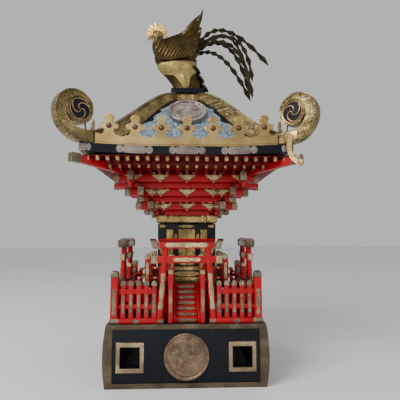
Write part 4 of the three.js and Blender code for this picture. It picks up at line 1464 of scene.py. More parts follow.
def long_mount(x, z, half_length, half_height, y, from_x=None):
    """The mount as an outlined plate with an inner ridge and a boss at each lobed end."""
    steps = 40
    right = [(-half_length + 2 * half_length * i / steps) for i in range(steps + 1)]
    if from_x is not None:
        right = [value for value in right if value >= from_x]
    upper = [(x + a, z + mount_half(abs(a), half_length, half_height)) for a in right]
    lower = [(x + a, z - mount_half(abs(a), half_length, half_height)) for a in reversed(right)]
    parts = [outline_plate(upper + lower, y, 1.4, edge=0.4)]
    body = half_length * 0.5
    start = max(-body, right[0])
    ring = [(start, -0.5), (start, 0.5), (body, 0.5), (body, -0.5), (start, -0.5)]
    ring = [(x + a, y - 1.5, z + b * half_height) for a, b in ring]
    parts += [wire(pair, 0.8, sides=6) for pair in zip(ring, ring[1:])]
    for side in (-1, 1):
        centre = side * half_length * 0.83
        if centre > right[0]:
            parts.append(dome(x + centre, y - 1.4, z, half_height * 0.34, 1.6, steps=12))
            parts.append(hoop(x + centre, y - 1.5, z, half_height * 0.56, 0.6))
    return parts


def eave_mounts():
    """One side's mounts, lifted with the board where it rises, and half of the mounts at its corners."""
    parts = []
    middle = (BOARD_LOW + BOARD_HIGH) / 2
    for x in (-142, 0, 142):
        parts += long_mount(x, middle, 49.5, 10.4, -EAVE)
    corner = long_mount(-EAVE, middle + 7.0, 31, 10.4, -EAVE, from_x=-1)
    parts += corner + [turned_copy(piece, Matrix.Scale(-1, 4, (1, 0, 0))) for piece in corner]
    for piece in parts:
        for vertex in piece.data.vertices:
            along = abs(vertex.co.x) / MM / EAVE
            if along < 0.86:
                vertex.co.z += upturn(EAVE, along) * MM
    return parts


four(eave_mounts(), MAUVE, on_sides("eave_mounts_"), "")

# The roof: four concave slopes that meet at the hips, in black lacquer. A cloud-shaped field on each slope
# is laid with crushed shell, a speckle of blue, grey and white under the lacquer.
ROOF_HALF, ROOF_TOP_HALF, ROOF_TOP = 270.0, 46.0, 878.0


def bezier(points, share):
    """A point on a cubic curve in two dimensions."""
    weights = ((1 - share) ** 3, 3 * share * (1 - share) ** 2, 3 * share ** 2 * (1 - share), share ** 3)
    return tuple(sum(w * p[axis] for w, p in zip(weights, points)) for axis in (0, 1))


SLOPE = ((ROOF_TOP_HALF, ROOF_TOP), (104.0, 866.0), (165.0, 700.0), (ROOF_HALF, 663.0))


def roof_shell():
    steps = 26
    slope = [bezier(SLOPE, 1 - i / steps) for i in range(steps + 1)]
    return squared([(0, 657.0), (ROOF_HALF, 657.0)] + slope + [(0, ROOF_TOP)], 128, 1.0)


def roof_finish():
    """Black lacquer, and inside a wavy outline on each slope a field of shell specks."""
    finish = Finish("shell_inlay", "black_lacquer")
    x, y, z = finish.split(finish.place)
    x, y = x.math("ABSOLUTE"), y.math("ABSOLUTE")
    across = x.math("MINIMUM", y)
    scallop = (across * (2 * pi / 0.040)).math("SINE")
    rungs = (z * (2 * pi / 0.034)).math("SINE")
    edge = x.math("MAXIMUM", y) - across + scallop * 0.004 + rungs * 0.006
    foot, head = (z + scallop * 0.006).above(0.690, 0.693), (z + scallop * 0.008).above(0.852, 0.855)
    inside = edge.above(0.030, 0.033) * foot * (1 - head)
    specks = finish.node("ShaderNodeTexVoronoi", "Color", {"Vector": finish.place, "Scale": 330.0})
    shade, kind, _ = finish.split(specks)
    stops = ((0.0, (0.025, 0.04, 0.075)), (0.45, (0.10, 0.15, 0.22)))
    stops += ((0.75, (0.22, 0.28, 0.36)), (1.0, (0.55, 0.60, 0.66)))
    shell = finish.node("ShaderNodeValToRGB", "Color", {"Fac": shade}, stops)
    shell = finish.blend(kind.above(0.72, 0.76) * 0.6, shell, (0.16, 0.24, 0.20))
    haze = finish.noise(8.0, 5.0)
    scuffs = finish.noise(90.0, 6.0).above(0.62, 0.75)
    lacquer = finish.blend(haze, (0.0022, 0.0026, 0.004), (0.008, 0.009, 0.013))
    lacquer = finish.blend(scuffs * 0.4, lacquer, (0.05, 0.05, 0.05))
    colour = finish.blend(inside, lacquer, shell)
    roughness = scuffs * 0.2 + haze * 0.14 + inside * 0.12 + 0.16
    height = shade * 0.3 + inside
    return finish.set(
        Base_Color=colour, Roughness=roughness, Normal=finish.bump(height, 0.0006, 0.35),
        Specular_IOR_Level=0.2
    )


INLAY = roof_finish()
keep(join([roof_shell()], INLAY), "roof_finish", "roof")

# The crest bands: an upright sheet of pale gilt brass along each roof edge, sawn into a row of seven
# trefoil crosses over scalloped dips, with a rolled foot and a dark domed stud in every cross.
BAND_LINE, BAND_THICK, BAND_END = 275.0, 4.0, 252.0
BAND_VALLEY, BAND_PITCH = 686.0, 71.7
BAND_FOOT = 656.3


def pale_gilt_finish():
    """Plain gilt sheet, finely brushed, with orange tarnish in patches and dull specks."""
    finish = Finish("pale_gilt", "gilded_brass")
    clouds = finish.noise(15.0, 6.0).above(0.34, 0.68)
    tarnish = finish.noise(32.0, 5.0).above(0.56, 0.74)
    specks = finish.noise(210.0, 4.0).above(0.60, 0.72)
    colour = finish.blend(clouds, (0.38, 0.255, 0.095), (0.62, 0.455, 0.19))
    colour = finish.blend(tarnish * 0.6, colour, (0.52, 0.30, 0.10))
    colour = finish.blend(specks * 0.5, colour, (0.20, 0.13, 0.055))
    roughness = tarnish * 0.12 + specks * 0.2 + 0.34
    brushed = finish.noise(500.0, 2.0) * 0.5 + finish.noise(45.0, 4.0)
    metal = finish.blend(specks * 0.6, (1.0,) * 3, (0.7,) * 3)
    return finish.set(
        Base_Color=colour, Roughness=roughness, Metallic=metal, Normal=finish.bump(brushed, 0.0005, 0.3)
    )


PALE = pale_gilt_finish()


def arc(x, z, radius, start, end, steps, stretch=1.0):
    angles = [start + (end - start) * i / steps for i in range(steps + 1)]
    return [(x + radius * cos(a), z + stretch * radius * sin(a)) for a in angles]


def cross_outline():
    """Half of a trefoil cross, from its foot up: a waist, a side lobe, a neck and half of the round head."""
    base = BAND_VALLEY
    right = [(20.0, base - 1.0), (15.5, base + 3), (13.2, base + 8), (13.6, base + 13)]
    right += arc(18.0, base + 23.5, 8.6, -pi * 0.62, pi * 0.55, 8)
    right += [(12.2, base + 34.0), (9.8, base + 37.5)]
    return right + arc(0, base + 47.0, 13.4, -pi * 0.17, pi / 2, 8, 0.9)


def band_outline():
    points = [(BAND_END, BAND_FOOT), (BAND_END, BAND_VALLEY + 3)]
    for i in range(3, -4, -1):
        x = i * BAND_PITCH
        right = cross_outline()
        points += [(x + a, b) for a, b in right] + [(x - a, b) for a, b in reversed(right)]
        if i > -3:
            points += arc(x - BAND_PITCH / 2, BAND_VALLEY + 0.5, 10.5, 0, -pi, 6, 0.5)
    points += [(-BAND_END, BAND_VALLEY + 3), (-BAND_END, BAND_FOOT)]
    divisions = 24
    points += [(-BAND_END + 2 * BAND_END * i / divisions, BAND_FOOT) for i in range(1, divisions)]
    return points[::-1]


def band_lift(x):
    return upturn(EAVE, abs(x) / BAND_LINE)


def crest_band():
    """The sheet, its raised rims and its rolled foot."""
    front = -BAND_LINE
    sheet = outline_plate(
        [(x, z + band_lift(x)) for x, z in band_outline()], front + BAND_THICK, BAND_THICK, edge=0.5
    )
    parts = [sheet]
    for z, radius in ((BAND_FOOT + 2.2, 2.0), (BAND_FOOT + 7.5, 0.9)):
        places = [-BAND_END + 1 + (2 * BAND_END - 2) * i / 24 for i in range(25)]
        line = [(x, front - 0.3, z + band_lift(x)) for x in places]
        parts.append(wire(line, radius, sides=8))
    for i in range(-3, 4):
        x = i * BAND_PITCH
        right = [
            (a * 0.86, BAND_VALLEY + 26 + (b - BAND_VALLEY - 26) * 0.90)
            for a, b in cross_outline()[2:]
        ]
        loop = right + [(-a, b) for a, b in reversed(right[:-1])]
        parts.append(wire([(x + a, front - 0.2, b + band_lift(x)) for a, b in loop], 0.75, sides=6))
    return parts


def band_studs():
    studs = []
    for i in range(-3, 4):
        x = i * BAND_PITCH
        z = BAND_VALLEY + 24 + band_lift(x)
        studs.append(dome(x, -BAND_LINE, z, 6.4, 5.0, steps=20))
        studs.append(hoop(x, -BAND_LINE - 0.4, z, 6.8, 0.8, 20))
    return studs


def stud_finish():
    finish = Finish("dark_copper", "dark_bronze")
    haze = finish.noise(60.0, 4.0)
    spots = finish.noise(240.0, 3.0).above(0.55, 0.7)
    colour = finish.blend(haze, (0.07, 0.030, 0.026), (0.19, 0.095, 0.080))
    colour = finish.blend(spots * 0.4, colour, (0.03, 0.02, 0.02))
    metal = finish.blend(haze, (0.9,) * 3, (0.75,) * 3)
    return finish.set(Base_Color=colour, Roughness=haze * 0.2 + 0.25, Metallic=metal)


COPPER = stud_finish()
four(crest_band(), PALE, on_sides("crest_band_"))
four(band_studs(), COPPER, on_sides("band_studs_"), "")

# The roof crests: a cast disc stands out over each slope on a short boss, tilted with the roof. Its rim is
# turned in two steps round three commas on a punched ground. The metal is a dull pinkish bronze.
DISC_Y, DISC_Z, DISC_TILT, DISC_RADIUS = -130.0, 810.0, 52.0, 61.0


def roof_crest():
    """The base crest's relief at the roof's size, with its boss, tilted back about its own middle."""
    parts = crest(DISC_RADIUS, 0.0, 0.0, 4.5, 9.0)
    parts.append(turned_disc([(0, -18), (18, -18), (18, -4), (0, -4)], 0.0, steps=32))
    tilted = Matrix.Rotation(radians(DISC_TILT - 90), 4, "X")
    for part in parts:
        part.data.transform(Matrix.Translation((0, DISC_Y * MM, DISC_Z * MM)) @ tilted)
    return parts


DISC = metal_finish(
    "disc_bronze", "old_bronze", (0.20, 0.155, 0.13), (0.40, 0.335, 0.29), (0.52, 0.46, 0.40), 9,
    metallic=0.8
)
four(roof_crest(), DISC, on_sides("roof_crest_"))

# The corner ridges: a deep bar runs down each hip and ends beyond the eaves in a great curl round a disc.
# Each is built of gilt copper sheet: smooth double rims along its edges, beaten scrolls between them, and
# on both faces of the curl a dark enamelled disc with three pale spiral lines. A strut holds up the disc.
SCROLL_S, SCROLL_Z, SCROLL_DISC = 416.0, 750.0, 38.0
RIDGE_LINE = ((46.0, 900.0), (112.0, 890.0), (190.0, 736.0), (268.0, 700.0))
RIDGE_HALF = 12.2
AGED_GOLD = metal_finish(
    "aged_gold", "gilded_brass", (0.085, 0.060, 0.026), (0.33, 0.24, 0.10), (0.60, 0.47, 0.22), 16,
    roughness=0.33, relief=0.0005
)


def round_scroll(turn, radius):
    """A point round the disc, by the angle turned outwards from straight down."""
    return (SCROLL_S + radius * sin(turn), SCROLL_Z - radius * cos(turn))


def curl_reach(turn):
    return SCROLL_DISC + 51 * max(0.0, 1 - turn / (1.55 * pi)) ** 1.15


def curl_line(steps, inset_by=0.0):
    """The curl's outer edge, from under the eaves' corner out, over and down to the disc."""
    points = []
    for i in range(steps + 1):
        turn = 1.6 * pi * i / steps
        points.append(round_scroll(turn - 0.35 * (1 - i / steps), curl_reach(turn) - inset_by))
    return points


def ridge_line(steps, inset_by=0.0):
    points = []
    for i in range(steps + 1):
        half, z = bezier(RIDGE_LINE, i / steps)
        points.append((half * sqrt(2), z - inset_by))
    return points


def ridge_outline():
    under = [bezier(SLOPE, i / 10) for i in range(10)]
    points = [(half * sqrt(2), z - 10) for half, z in under] + curl_line(56)
    points += [round_scroll(pi * (1.6 + 0.85 * i / 18), SCROLL_DISC) for i in range(1, 19)]
    points += [round_scroll(1.3 - 0.2 * i, SCROLL_DISC + 12 * (1 - (1.3 - 0.2 * i) / 1.5)) for i in range(8)]
    return points + ridge_line(28)[::-1]


def scroll_leaf():
    """A beaten scroll with a leaf springing from its back, to be copied along the ridges."""
    curl = [((7.6 - 0.40 * i) * cos(i * 0.5), 0.0, (7.6 - 0.40 * i) * sin(i * 0.5)) for i in range(16)]
    stem = [(7.6, 0.0, 0.0), (7.0, 0.0, -6.0), (3.0, 0.0, -10.5), (-4.0, 0.0, -12.0)]
    leaf = [(-1.0, 0.0, 7.4), (-7.0, 0.0, 9.0), (-12.5, 0.0, 5.5)]
    parts = [
        wire(curl, 1.35, sides=6, taper=0.6), wire(stem, 1.3, sides=6, taper=0.7),
        wire(leaf, 1.9, sides=6, taper=0.9)
    ]
    return join(parts)


def placed_leaf(leaf, s, z, y, turn, size, flip):
    grow = Matrix.Diagonal((size, 1.0, size * (-1 if flip else 1), 1.0))
    return turned_copy(
        leaf, Matrix.Translation((s * MM, y * MM, z * MM)) @ Matrix.Rotation(turn, 4, "Y") @ grow
    )


def ridge_relief(face):
    """Rims, scrolls and the disc's rings on one face, which is at y = face."""
    parts = []
    for inset_by, radius in ((2.6, 2.2), (7.2, 1.1)):
        parts.append(wire([(s, face, z) for s, z in ridge_line(30, inset_by)], radius, sides=8))
        parts.append(wire([(s, face, z) for s, z in curl_line(60, inset_by)], radius, sides=8))
    for radius, thick in ((SCROLL_DISC - 2.2, 2.2), (31.5, 1.6)):
        parts.append(hoop(SCROLL_S, face, SCROLL_Z, radius, thick, 48, 8))
    leaf = scroll_leaf()
    count = 13
    for i in range(count):
        share = 0.03 + 0.92 * i / count
        half, z = bezier(RIDGE_LINE, share)
        ahead, z_ahead = bezier(RIDGE_LINE, share + 0.02)
        turn = -atan2(z_ahead - z, (ahead - half) * sqrt(2))
        depth = 24.0 if share < 0.8 else 19.0
        parts.append(placed_leaf(leaf, half * sqrt(2), z - depth, face, turn, 1.12, i % 2 == 0))
    steps = 13
    for i in range(steps):
        turn = 0.15 + 1.15 * pi * i / steps
        thick = curl_reach(turn) - SCROLL_DISC
        s, z = round_scroll(turn, SCROLL_DISC + thick * 0.50)
        parts.append(placed_leaf(leaf, s, z, face, pi - turn, min(1.0, thick / 36), i % 2 == 0))
    bpy.data.objects.remove(leaf)
    return parts


def ridge_metal():
    body = outline_plate(ridge_outline(), RIDGE_HALF, 2 * RIDGE_HALF, edge=1.1)
    parts = [body] + ridge_relief(-RIDGE_HALF) + ridge_relief(RIDGE_HALF)
    top = ridge_line(30)
    parts.append(wire([(s, 0.0, z - 1.2) for s, z in top], 3.4, sides=10))
    strut = [
        (SCROLL_S - 22, 0.0, SCROLL_Z - 58), (SCROLL_S - 24, 0.0, SCROLL_Z - 45),
        (SCROLL_S - 21, 0.0, SCROLL_Z - 30)
    ]
    parts.append(wire(strut, 2.6, sides=10))
    parts.append(wire(
        [(370.0, 0.0, 692.0), (369.0, 0.0, 700.0), (366.0, 0.0, 704.0)], 1.8, sides=8, taper=0.7
    ))
    return parts


def enamel_discs():
    """The dark grounds inside the rings, and the pale spiral lines that part their three commas."""
    grounds, lines = [], []
    for hand in (-1, 1):
        face = hand * RIDGE_HALF
        ground = turned_disc([(0, -2), (30.6, -2), (30.6, 0.9), (0, 1.3)], 0.0, steps=48)
        place = Matrix.Translation((SCROLL_S * MM, face * MM, SCROLL_Z * MM))
        ground.data.transform(place @ Matrix.Rotation(0 if hand < 0 else pi, 4, "Z"))
        grounds.append(ground)
        for i in range(3):
            points = []
            for j in range(22):
                share = j / 21
                angle = i * 2 * pi / 3 + share * 2.5 + 0.3
                reach = 1.0 + 26.5 * share ** 0.85
                points.append((
                    SCROLL_S + reach * cos(angle), face + hand * 1.3, SCROLL_Z + reach * sin(angle)
                ))
            lines.append(wire(points, 1.7, sides=8, taper=0.4))
        lines.append(hoop(SCROLL_S, face + hand * 0.9, SCROLL_Z, 28.6, 1.0, 48, 8))
    return grounds, lines


def enamel_finish():
    finish = Finish("dark_enamel", "black_lacquer")
    haze = finish.noise(50.0, 4.0)
    specks = finish.noise(300.0, 3.0).above(0.6, 0.72)
    colour = finish.blend(haze, (0.004, 0.0025, 0.007), (0.012, 0.008, 0.018))
    colour = finish.blend(specks * 0.3, colour, (0.06, 0.05, 0.06))
    specks_raised = finish.bump(specks, 0.0004, 0.4)
    return finish.set(
        Base_Color=colour, Roughness=haze * 0.15 + 0.3, Normal=specks_raised, Specular_IOR_Level=0.15
    )


def onto_corner(parts):
    """Turns parts built along x onto the front right corner's diagonal."""
    for part in parts:
        part.data.transform(Matrix.Rotation(-pi / 4, 4, "Z"))
    return parts


ENAMEL = enamel_finish()
RIDGES = at_corners("ridge_")[1:] + at_corners("ridge_")[:1]
four(onto_corner(ridge_metal()), AGED_GOLD, RIDGES)
grounds, lines = enamel_discs()
four(onto_corner(grounds), ENAMEL, RIDGES, "_enamel")
four(onto_corner(lines), PALE, RIDGES, "_spirals")

# The corner hook: a strip of cast brass that hangs from the front right ridge beside its foot, grooved
# along its length, with a chased plate at its top and a rolled tip. The other corners have lost theirs.
HOOK_PATH = ((414.0, 688.0), (396.0, 650.0), (412.0, 612.0), (440.0, 604.0))


def hook():
    steps = 20
    centre = [Vector(bezier(HOOK_PATH, i / steps)) for i in range(steps + 1)]
    strip_points = []
    for i, point in enumerate(centre):
        ahead = centre[min(i + 1, steps)] - centre[max(i - 1, 0)]
        across = Vector((-ahead.y, ahead.x)).normalized()
        strip_points.append((point, across, 8.5 - 4 * i / steps))
    left = [tuple(p + n * w) for p, n, w in strip_points]
    right = [tuple(p - n * w) for p, n, w in strip_points]
    face = -RIDGE_HALF - 0.8
    strip = outline_plate((left + right[::-1])[::-1], face, 4.0, edge=0.8)
    parts = [strip]
    for share in (-0.72, 0.0, 0.72):
        line = [(p.x + n.x * w * share, face - 4.0, p.y + n.y * w * share) for p, n, w in strip_points]
        parts.append(wire(line, 1.2 if share else 0.8, sides=8))
    tip = [(0, -3), (8.2, -3), (9.2, 1), (8.0, 6.4), (4.5, 6.8), (3.6, 5.6), (1.6, 7.2), (0, 7.4)]
    parts.append(turned_disc(tip, face, x=438.0, z=607.5, steps=28))
    parts.append(block((388, 430), (face - 2.2, face + 1), (672, 696), edge=1.0))
    for i in range(8):
        angle = i * pi / 4
        petal = [(409 + out * cos(angle), face - 2.4, 684 + out * sin(angle)) for out in (3, 5.75, 8.5)]
        parts.append(wire(petal, 1.6, sides=6, taper=0.6))
    parts.append(dome(409, face - 2.2, 684, 3.0, 2.6, steps=14))
    return parts


keep(join(onto_corner(hook()), PALE), "corner_hook_finish", "corner_hook")

# The apex block: a square lacquered stand under the bird. The ridges meet round its neck under a gilt
# saddle plate on each side, which is chased and held by a bright strap.
apex = span("apex_block")
APEX_FOOT, APEX_TOP = apex[2]
NECK_HALF, SLAB_HALF, SLAB_LOW = 44.0, apex[0][1], 901.0
apex_parts = [square_block(NECK_HALF, (APEX_FOOT, SLAB_LOW + 1), 0.8)]
apex_parts.append(square_block(SLAB_HALF, (SLAB_LOW, APEX_TOP - 0.5), 1.8, 3))
apex_parts.append(square_block(SLAB_HALF - 5, (APEX_TOP - 3, APEX_TOP), 1.0))
keep(join(apex_parts, BLACK), "apex_block_finish", "apex_block")


def saddle():
    face = -NECK_HALF - 2.4
    outline = [(-62, 878), (62, 878), (62, 884), (52, 900.4), (-52, 900.4), (-62, 884)]
    parts = [outline_plate(outline, face + 2.6, 2.6, edge=0.7)]
    for x in (-14, 22):
        parts.append(block(about(x, 2.2), (face - 2.2, face + 1), (877, 900), edge=0.9))
    for frame_x in ((-34, -18), (-9, 17)):
        parts += wire_frame(frame_x, face, (883, 896), 0.9)
    return parts


four(saddle(), GOLD, on_sides("saddle_"), "")

# The phoenix's body: a hollow casting that stands on the apex block, facing left, its breast and belly
# swelling over drawn-in legs. The bronze is dark, with a punched gilt belly, gilt legs, rows of small
# overlapping feathers on the neck, and a gilt flame crest on the head.
BIRD_FOOT = APEX_TOP + 0.3
# Height over the foot, then the body's foremost and rearmost x and its half width there.
BODY_RINGS = (
    (0, -42, 62, 22), (28, -52, 66, 21), (62, -78, 52, 25), (95, -106, 36, 33), (122, -110, 30, 34),
    (150, -118, 34, 33), (172, -128, 35, 28), (188, -126, -4, 20), (200, -122, -70, 11),
)


CAST = {"size": 10, "leans": True, "roughness": 0.36, "grooves": 2.0, "relief": 0.0005}
BIRD = metal_finish(
    "bird_bronze", "dark_bronze", (0.016, 0.010, 0.004), (0.060, 0.039, 0.014), (0.15, 0.105, 0.042), **CAST)
BELLY = metal_finish(
    "belly_gilt", "gilded_brass", (0.11, 0.072, 0.022), (0.46, 0.33, 0.105), (0.82, 0.64, 0.27), **CAST)
FLAME = metal_finish(
    "flame_gilt", "gilded_brass", (0.80, 0.42, 0.06), (1.0, 0.66, 0.17), (1.0, 0.80, 0.34), **CAST)


def between(rows, value):
    """The values that follow the first one in each row, read off at a value between two rows."""
    for lower, upper in zip(rows, rows[1:]):
        if value <= upper[0]:
            share = (value - lower[0]) / (upper[0] - lower[0])
            return [a + (b - a) * share for a, b in zip(lower[1:], upper[1:])]
    return list(rows[-1][1:])


def smooth_ring(height):
    """The body's section at a height, evened out over 9 mm above and below."""
    heights = [min(max(height + offset, 0.0), 200.0) for offset in (-9.0, -4.5, 0.0, 4.5, 9.0)]
    around = [between(BODY_RINGS, value) for value in heights]
    return [sum(values) / 5 for values in zip(*around)]


def body_point(angle, height, outwards=0.0):
    x0, x1, half = smooth_ring(height)
    return (
        (x0 + x1) / 2 + ((x1 - x0) / 2 + outwards) * cos(angle), (half + outwards) * sin(angle),
        BIRD_FOOT + height
    )


def body_shell():
    """The casting's skin: the rings joined up, drawn in at the back of the legs, under the feathers."""
    levels = 60

    def place(u, v):
        if v in (0.0, 1.0):
            x0, x1, half = smooth_ring(200.0 * v)
            return ((x0 + x1) / 2, 0.0, BIRD_FOOT + 200.0 * v)
        height = 200.0 * (round(v * levels) - 1) / (levels - 2)
        x, y, z = body_point(2 * pi * u, height)
        rear = 7.0 * max(0.0, cos(2 * pi * u)) ** 4 if height < 104 else 0.0
        return (x - rear, y, z)

    return surface(place, 48, levels)


def leaf_shape(length, width, thick, steps=10):
    """A small feather lying along x: pointed, ribbed down its middle and bulging."""

    def place(u, v):
        half = width / 2 * sin(pi * v ** 0.72) ** 0.8 if 0 < v < 1 else 0.0
        across = cos(2 * pi * u)
        rise = thick * (1 - abs(across)) * sin(pi * min(max(v, 0.0), 1.0)) ** 0.5
        return (v * length, -rise if sin(2 * pi * u) >= 0 else 0.2, across * half)

    return surface(place, 8, steps)


def set_feather(feather, point, heading, outward, size, tilt):
    """A copy at a point, laid along heading with its bulging face outward."""
    forward = Vector(heading).normalized()
    back = -Vector(outward).normalized()
    back = (back - forward * back.dot(forward)).normalized()
    up = forward.cross(back)
    frame = Matrix((forward, back, up)).transposed().to_4x4()
    lift = Matrix.Rotation(tilt, 4, "Z")
    where = Matrix.Translation(Vector(point) * MM)
    return turned_copy(feather, where @ frame @ lift.inverted() @ Matrix.Scale(size, 4))


def body_feathers():
    """Rows of small feathers round the neck and breast, each row hanging over the one below."""
    feather = leaf_shape(17, 11, 2.2)
    parts = []
    for row in range(11):
        height = 188 - row * 6.5
        count = 15 if height > 150 else 19
        for i in range(count):
            angle = pi + (i - (count - 1) / 2 + 0.5 * (row % 2)) * (0.26 if count == 15 else 0.22)
            point = body_point(angle, height, 0.4)
            outward = Vector((cos(angle), sin(angle) * 1.4, 0.0))
            heading = Vector((0.35, 0.0, -1.0))
            parts.append(set_feather(feather, point, heading, outward, 1.0, 0.05))
    bpy.data.objects.remove(feather)
    return parts


def rear_feathers():
    """Three rows of ragged feathers down the back of the legs, whose tips stand out from the casting."""
    feather = leaf_shape(40, 24, 5.0, 12)
    parts = []
    for row in range(3):
        for i in range(5):
            angle = (i - 2) * 0.26 + 0.08 * (row % 2)
            point = body_point(angle, 104 - row * 33, -6.0)
            heading = (0.30 * cos(angle), 0.30 * sin(angle), -1.0)
            parts.append(set_feather(feather, point, heading, (cos(angle), sin(angle), 0.1), 0.94, 0.30))
    bpy.data.objects.remove(feather)
    return parts


# Angle round the body, then the height down to which the gilt reaches there; it runs to a point in the leg.
BELLY_EDGE = (
    (-3.15, 70), (-2.20, 60), (-2.07, 50), (-2.03, 32), (-1.95, 14), (-1.84, 4),
    (-1.68, 16), (-1.40, 44), (-1.08, 61), (-0.49, 78),
)
# The leg's middle in x and y, its height over the foot and its radius, from the top down.
LEG = (
    (-14, -21, 60, 14), (-11, -23.5, 44, 11), (-9, -24, 28, 7.5), (-7, -23.5, 14, 4.2), (-5, -22.5, 2, 1.6)
)


def belly():
    """The punched gilt saddle over the body's lower bulge, drawn in on each side to a tapering leg."""

    def place(u, v):
        angle = -pi + 2.64 * u
        low = between(BELLY_EDGE, angle)[0]
        height = low + (101 + 9 * u - low) * v
        return body_point(angle, height, 2.2 * sin(pi * min(max(v, 0.02), 0.98)) ** 0.4 + 0.3)

    def limb(u, v):
        x, y, height, radius = between([(i / 4,) + row for i, row in enumerate(LEG)], v)
        radius = 0.0 if v in (0.0, 1.0) else radius
        return (x + radius * cos(2 * pi * u), y + radius * 0.62 * sin(2 * pi * u), BIRD_FOOT + height)

    shell = surface(place, 72, 16, closed=False)
    clear()
    shell.select_set(True)
    bpy.context.view_layer.objects.active = shell
    thick = shell.modifiers.new("sheet", "SOLIDIFY")
    thick.thickness = 1.6 * MM
    thick.offset = 0.0
    bpy.ops.object.modifier_apply(modifier="sheet")
    parts = [shell, surface(limb, 20, 24)]
    for i in range(17):
        x, y, z = place((i + 0.5) / 17, 0.86)
        parts.append(dome(x, y - 0.6, z, 1.2, 1.0, facing=(0, -1, 0.1), steps=6))
    for height in (0.02, 0.99):
        parts.append(wire([place(i / 60, height) for i in range(61)], 1.4, sides=8, taper=0.4))
    return parts + [turned_copy(piece, Matrix.Scale(-1, 4, (0, 1, 0))) for piece in parts]


HEAD = Vector((-107.0, 0.0, BIRD_FOOT + 218))


def egg(centre, radii, across=28, along=18):
    def place(u, v):
        tilt = pi * (v - 0.5)
        ring = cos(tilt) if 0 < v < 1 else 0.0
        out = (ring * cos(2 * pi * u), ring * sin(2 * pi * u), sin(tilt))
        return [c + r * o for c, r, o in zip(centre, radii, out)]

    return surface(place, across, along)


def tapering(points, radii, sides=14, flat=1.0):
    """A horn along points whose radius follows a list, flattened sideways by a factor."""
    points = [Vector(p) for p in points]
    last = len(points) + 1

    def place(u, v):
        index = round(v * last)
        inner = min(max(index - 1, 0), len(points) - 1)
        ahead = (points[min(inner + 1, len(points) - 1)] - points[max(inner - 1, 0)]).normalized()
        side = Vector((0, 1, 0))
        lift = ahead.cross(side).normalized()
        radius = 0.0 if index in (0, last) else radii[inner]
        return points[inner] + side * (radius * flat * cos(2 * pi * u)) + lift * (radius * sin(2 * pi * u))

    return surface(place, sides, last)


def head_parts():
    """The skull, the hooked beak's two halves, the throat's wattle and the sunk eyes."""
    throat = [HEAD + Vector(p) for p in ((4, 0, -8), (-2, 0, -20), (-6, 0, -34), (0, 0, -50))]
    darks = [tapering(throat, (13, 13, 12, 14))]
    upper = [
        HEAD + Vector(p)
        for p in ((-12, 0, 1), (-22, 0, -3), (-30, 0, -9), (-36, 0, -17), (-38, 0, -23))
    ]
    golds = [egg(HEAD, (21, 13.5, 16.5)), tapering(upper, (9.0, 7.4, 5.2, 2.8, 0.8), flat=0.72)]
    lower = [HEAD + Vector(p) for p in ((-10, 0, -9), (-17, 0, -13), (-25, 0, -19))]
    darks.append(tapering(lower, (5.0, 3.6, 1.2), flat=0.7))
    for hand in (-1, 1):
        golds.append(dome(HEAD.x - 8, hand * 12.2, HEAD.z + 3, 3.4, 2.2, facing=(-0.2, hand, 0.1), steps=16))
        golds.append(hoop(HEAD.x - 8, hand * 12.6, HEAD.z + 3, 4.6, 0.9, 20, rise=4.0))
        brow = [
            (HEAD.x - 18, hand * 8, HEAD.z + 8), (HEAD.x - 8, hand * 12.4, HEAD.z + 10),
            (HEAD.x + 6, hand * 11.5, HEAD.z + 8)
        ]
        golds.append(wire(brow, 1.5, sides=8, taper=0.8))
        wattle = [
            (HEAD.x - 14, hand * 5, HEAD.z - 12), (HEAD.x - 15, hand * 6, HEAD.z - 20),
            (HEAD.x - 12, hand * 5, HEAD.z - 27)
        ]
        golds.append(tapering(wattle, (2.6, 4.0, 1.6), flat=0.6))
    return darks, golds


def flame_crest():
    """Tongues of sheet brass that fan out over the head, long and short in turn."""
    parts = []
    base = HEAD + Vector((-2, 0, 10))
    tongues = 15
    for i in range(tongues):
        angle = -0.30 + (pi + 0.60) * i / (tongues - 1)
        length = 29 if i % 2 else 35
        sway = 0.18 if i % 2 else -0.18
        heading = Vector((0.86 * cos(angle), 0, 0.88 * sin(angle)))
        side = Vector((-sin(angle), 0, cos(angle)))
        for y in (-1.6, 1.6):
            centre = base + heading * 10 + Vector((0, y * (1 + i % 3) * 0.6, 0))
            points = []
            for t in (0.0, 0.25, 0.5, 0.75, 1.0):
                points.append(centre + heading * (length * t) + side * (sway * length * sin(t * pi) * 0.5))
            parts.append(tapering(points, (7.0, 8.2, 7.4, 5.4, 1.4), sides=8, flat=0.3))
    parts.append(egg(base + Vector((0, 0, 4)), (25, 4.4, 25)))
    for hand in (-1, 1):
        for reach in (10, 16, 22):
            angles = [-0.3 + i * 0.25 for i in range(14)]
            curl = [base + Vector((reach * cos(a), hand * 4.2, reach * 0.8 * sin(a))) for a in angles]
            parts.append(wire(curl, 1.1, sides=6, taper=0.6))
    return parts


darks, golds = head_parts()
bird_parts = [body_shell()] + body_feathers() + rear_feathers() + darks
keep(join(bird_parts, BIRD), "phoenix_body_finish", "phoenix_body")
keep(join(belly(), BELLY), "phoenix_belly")
keep(join(golds, AGED_GOLD), "phoenix_head")
keep(join(flame_crest(), FLAME), "phoenix_crest")

# The phoenix's wings: one shell on each side of the body, swept up behind to a tall point. Each is a
# curved bronze sheet covered with long ribbed feathers: steep ones below, flat ones along its upper edge.
WING_EDGE = ((-123, 1080), (-83, 1100), (-30, 1117), (14, 1138), (38, 1164), (54, 1203))


def wing_spread(x, z):
    return 38.0 + 10.0 * ((x + 126) / 180) ** 2 + 12.0 * max(0.0, (z - 1100) / 97)


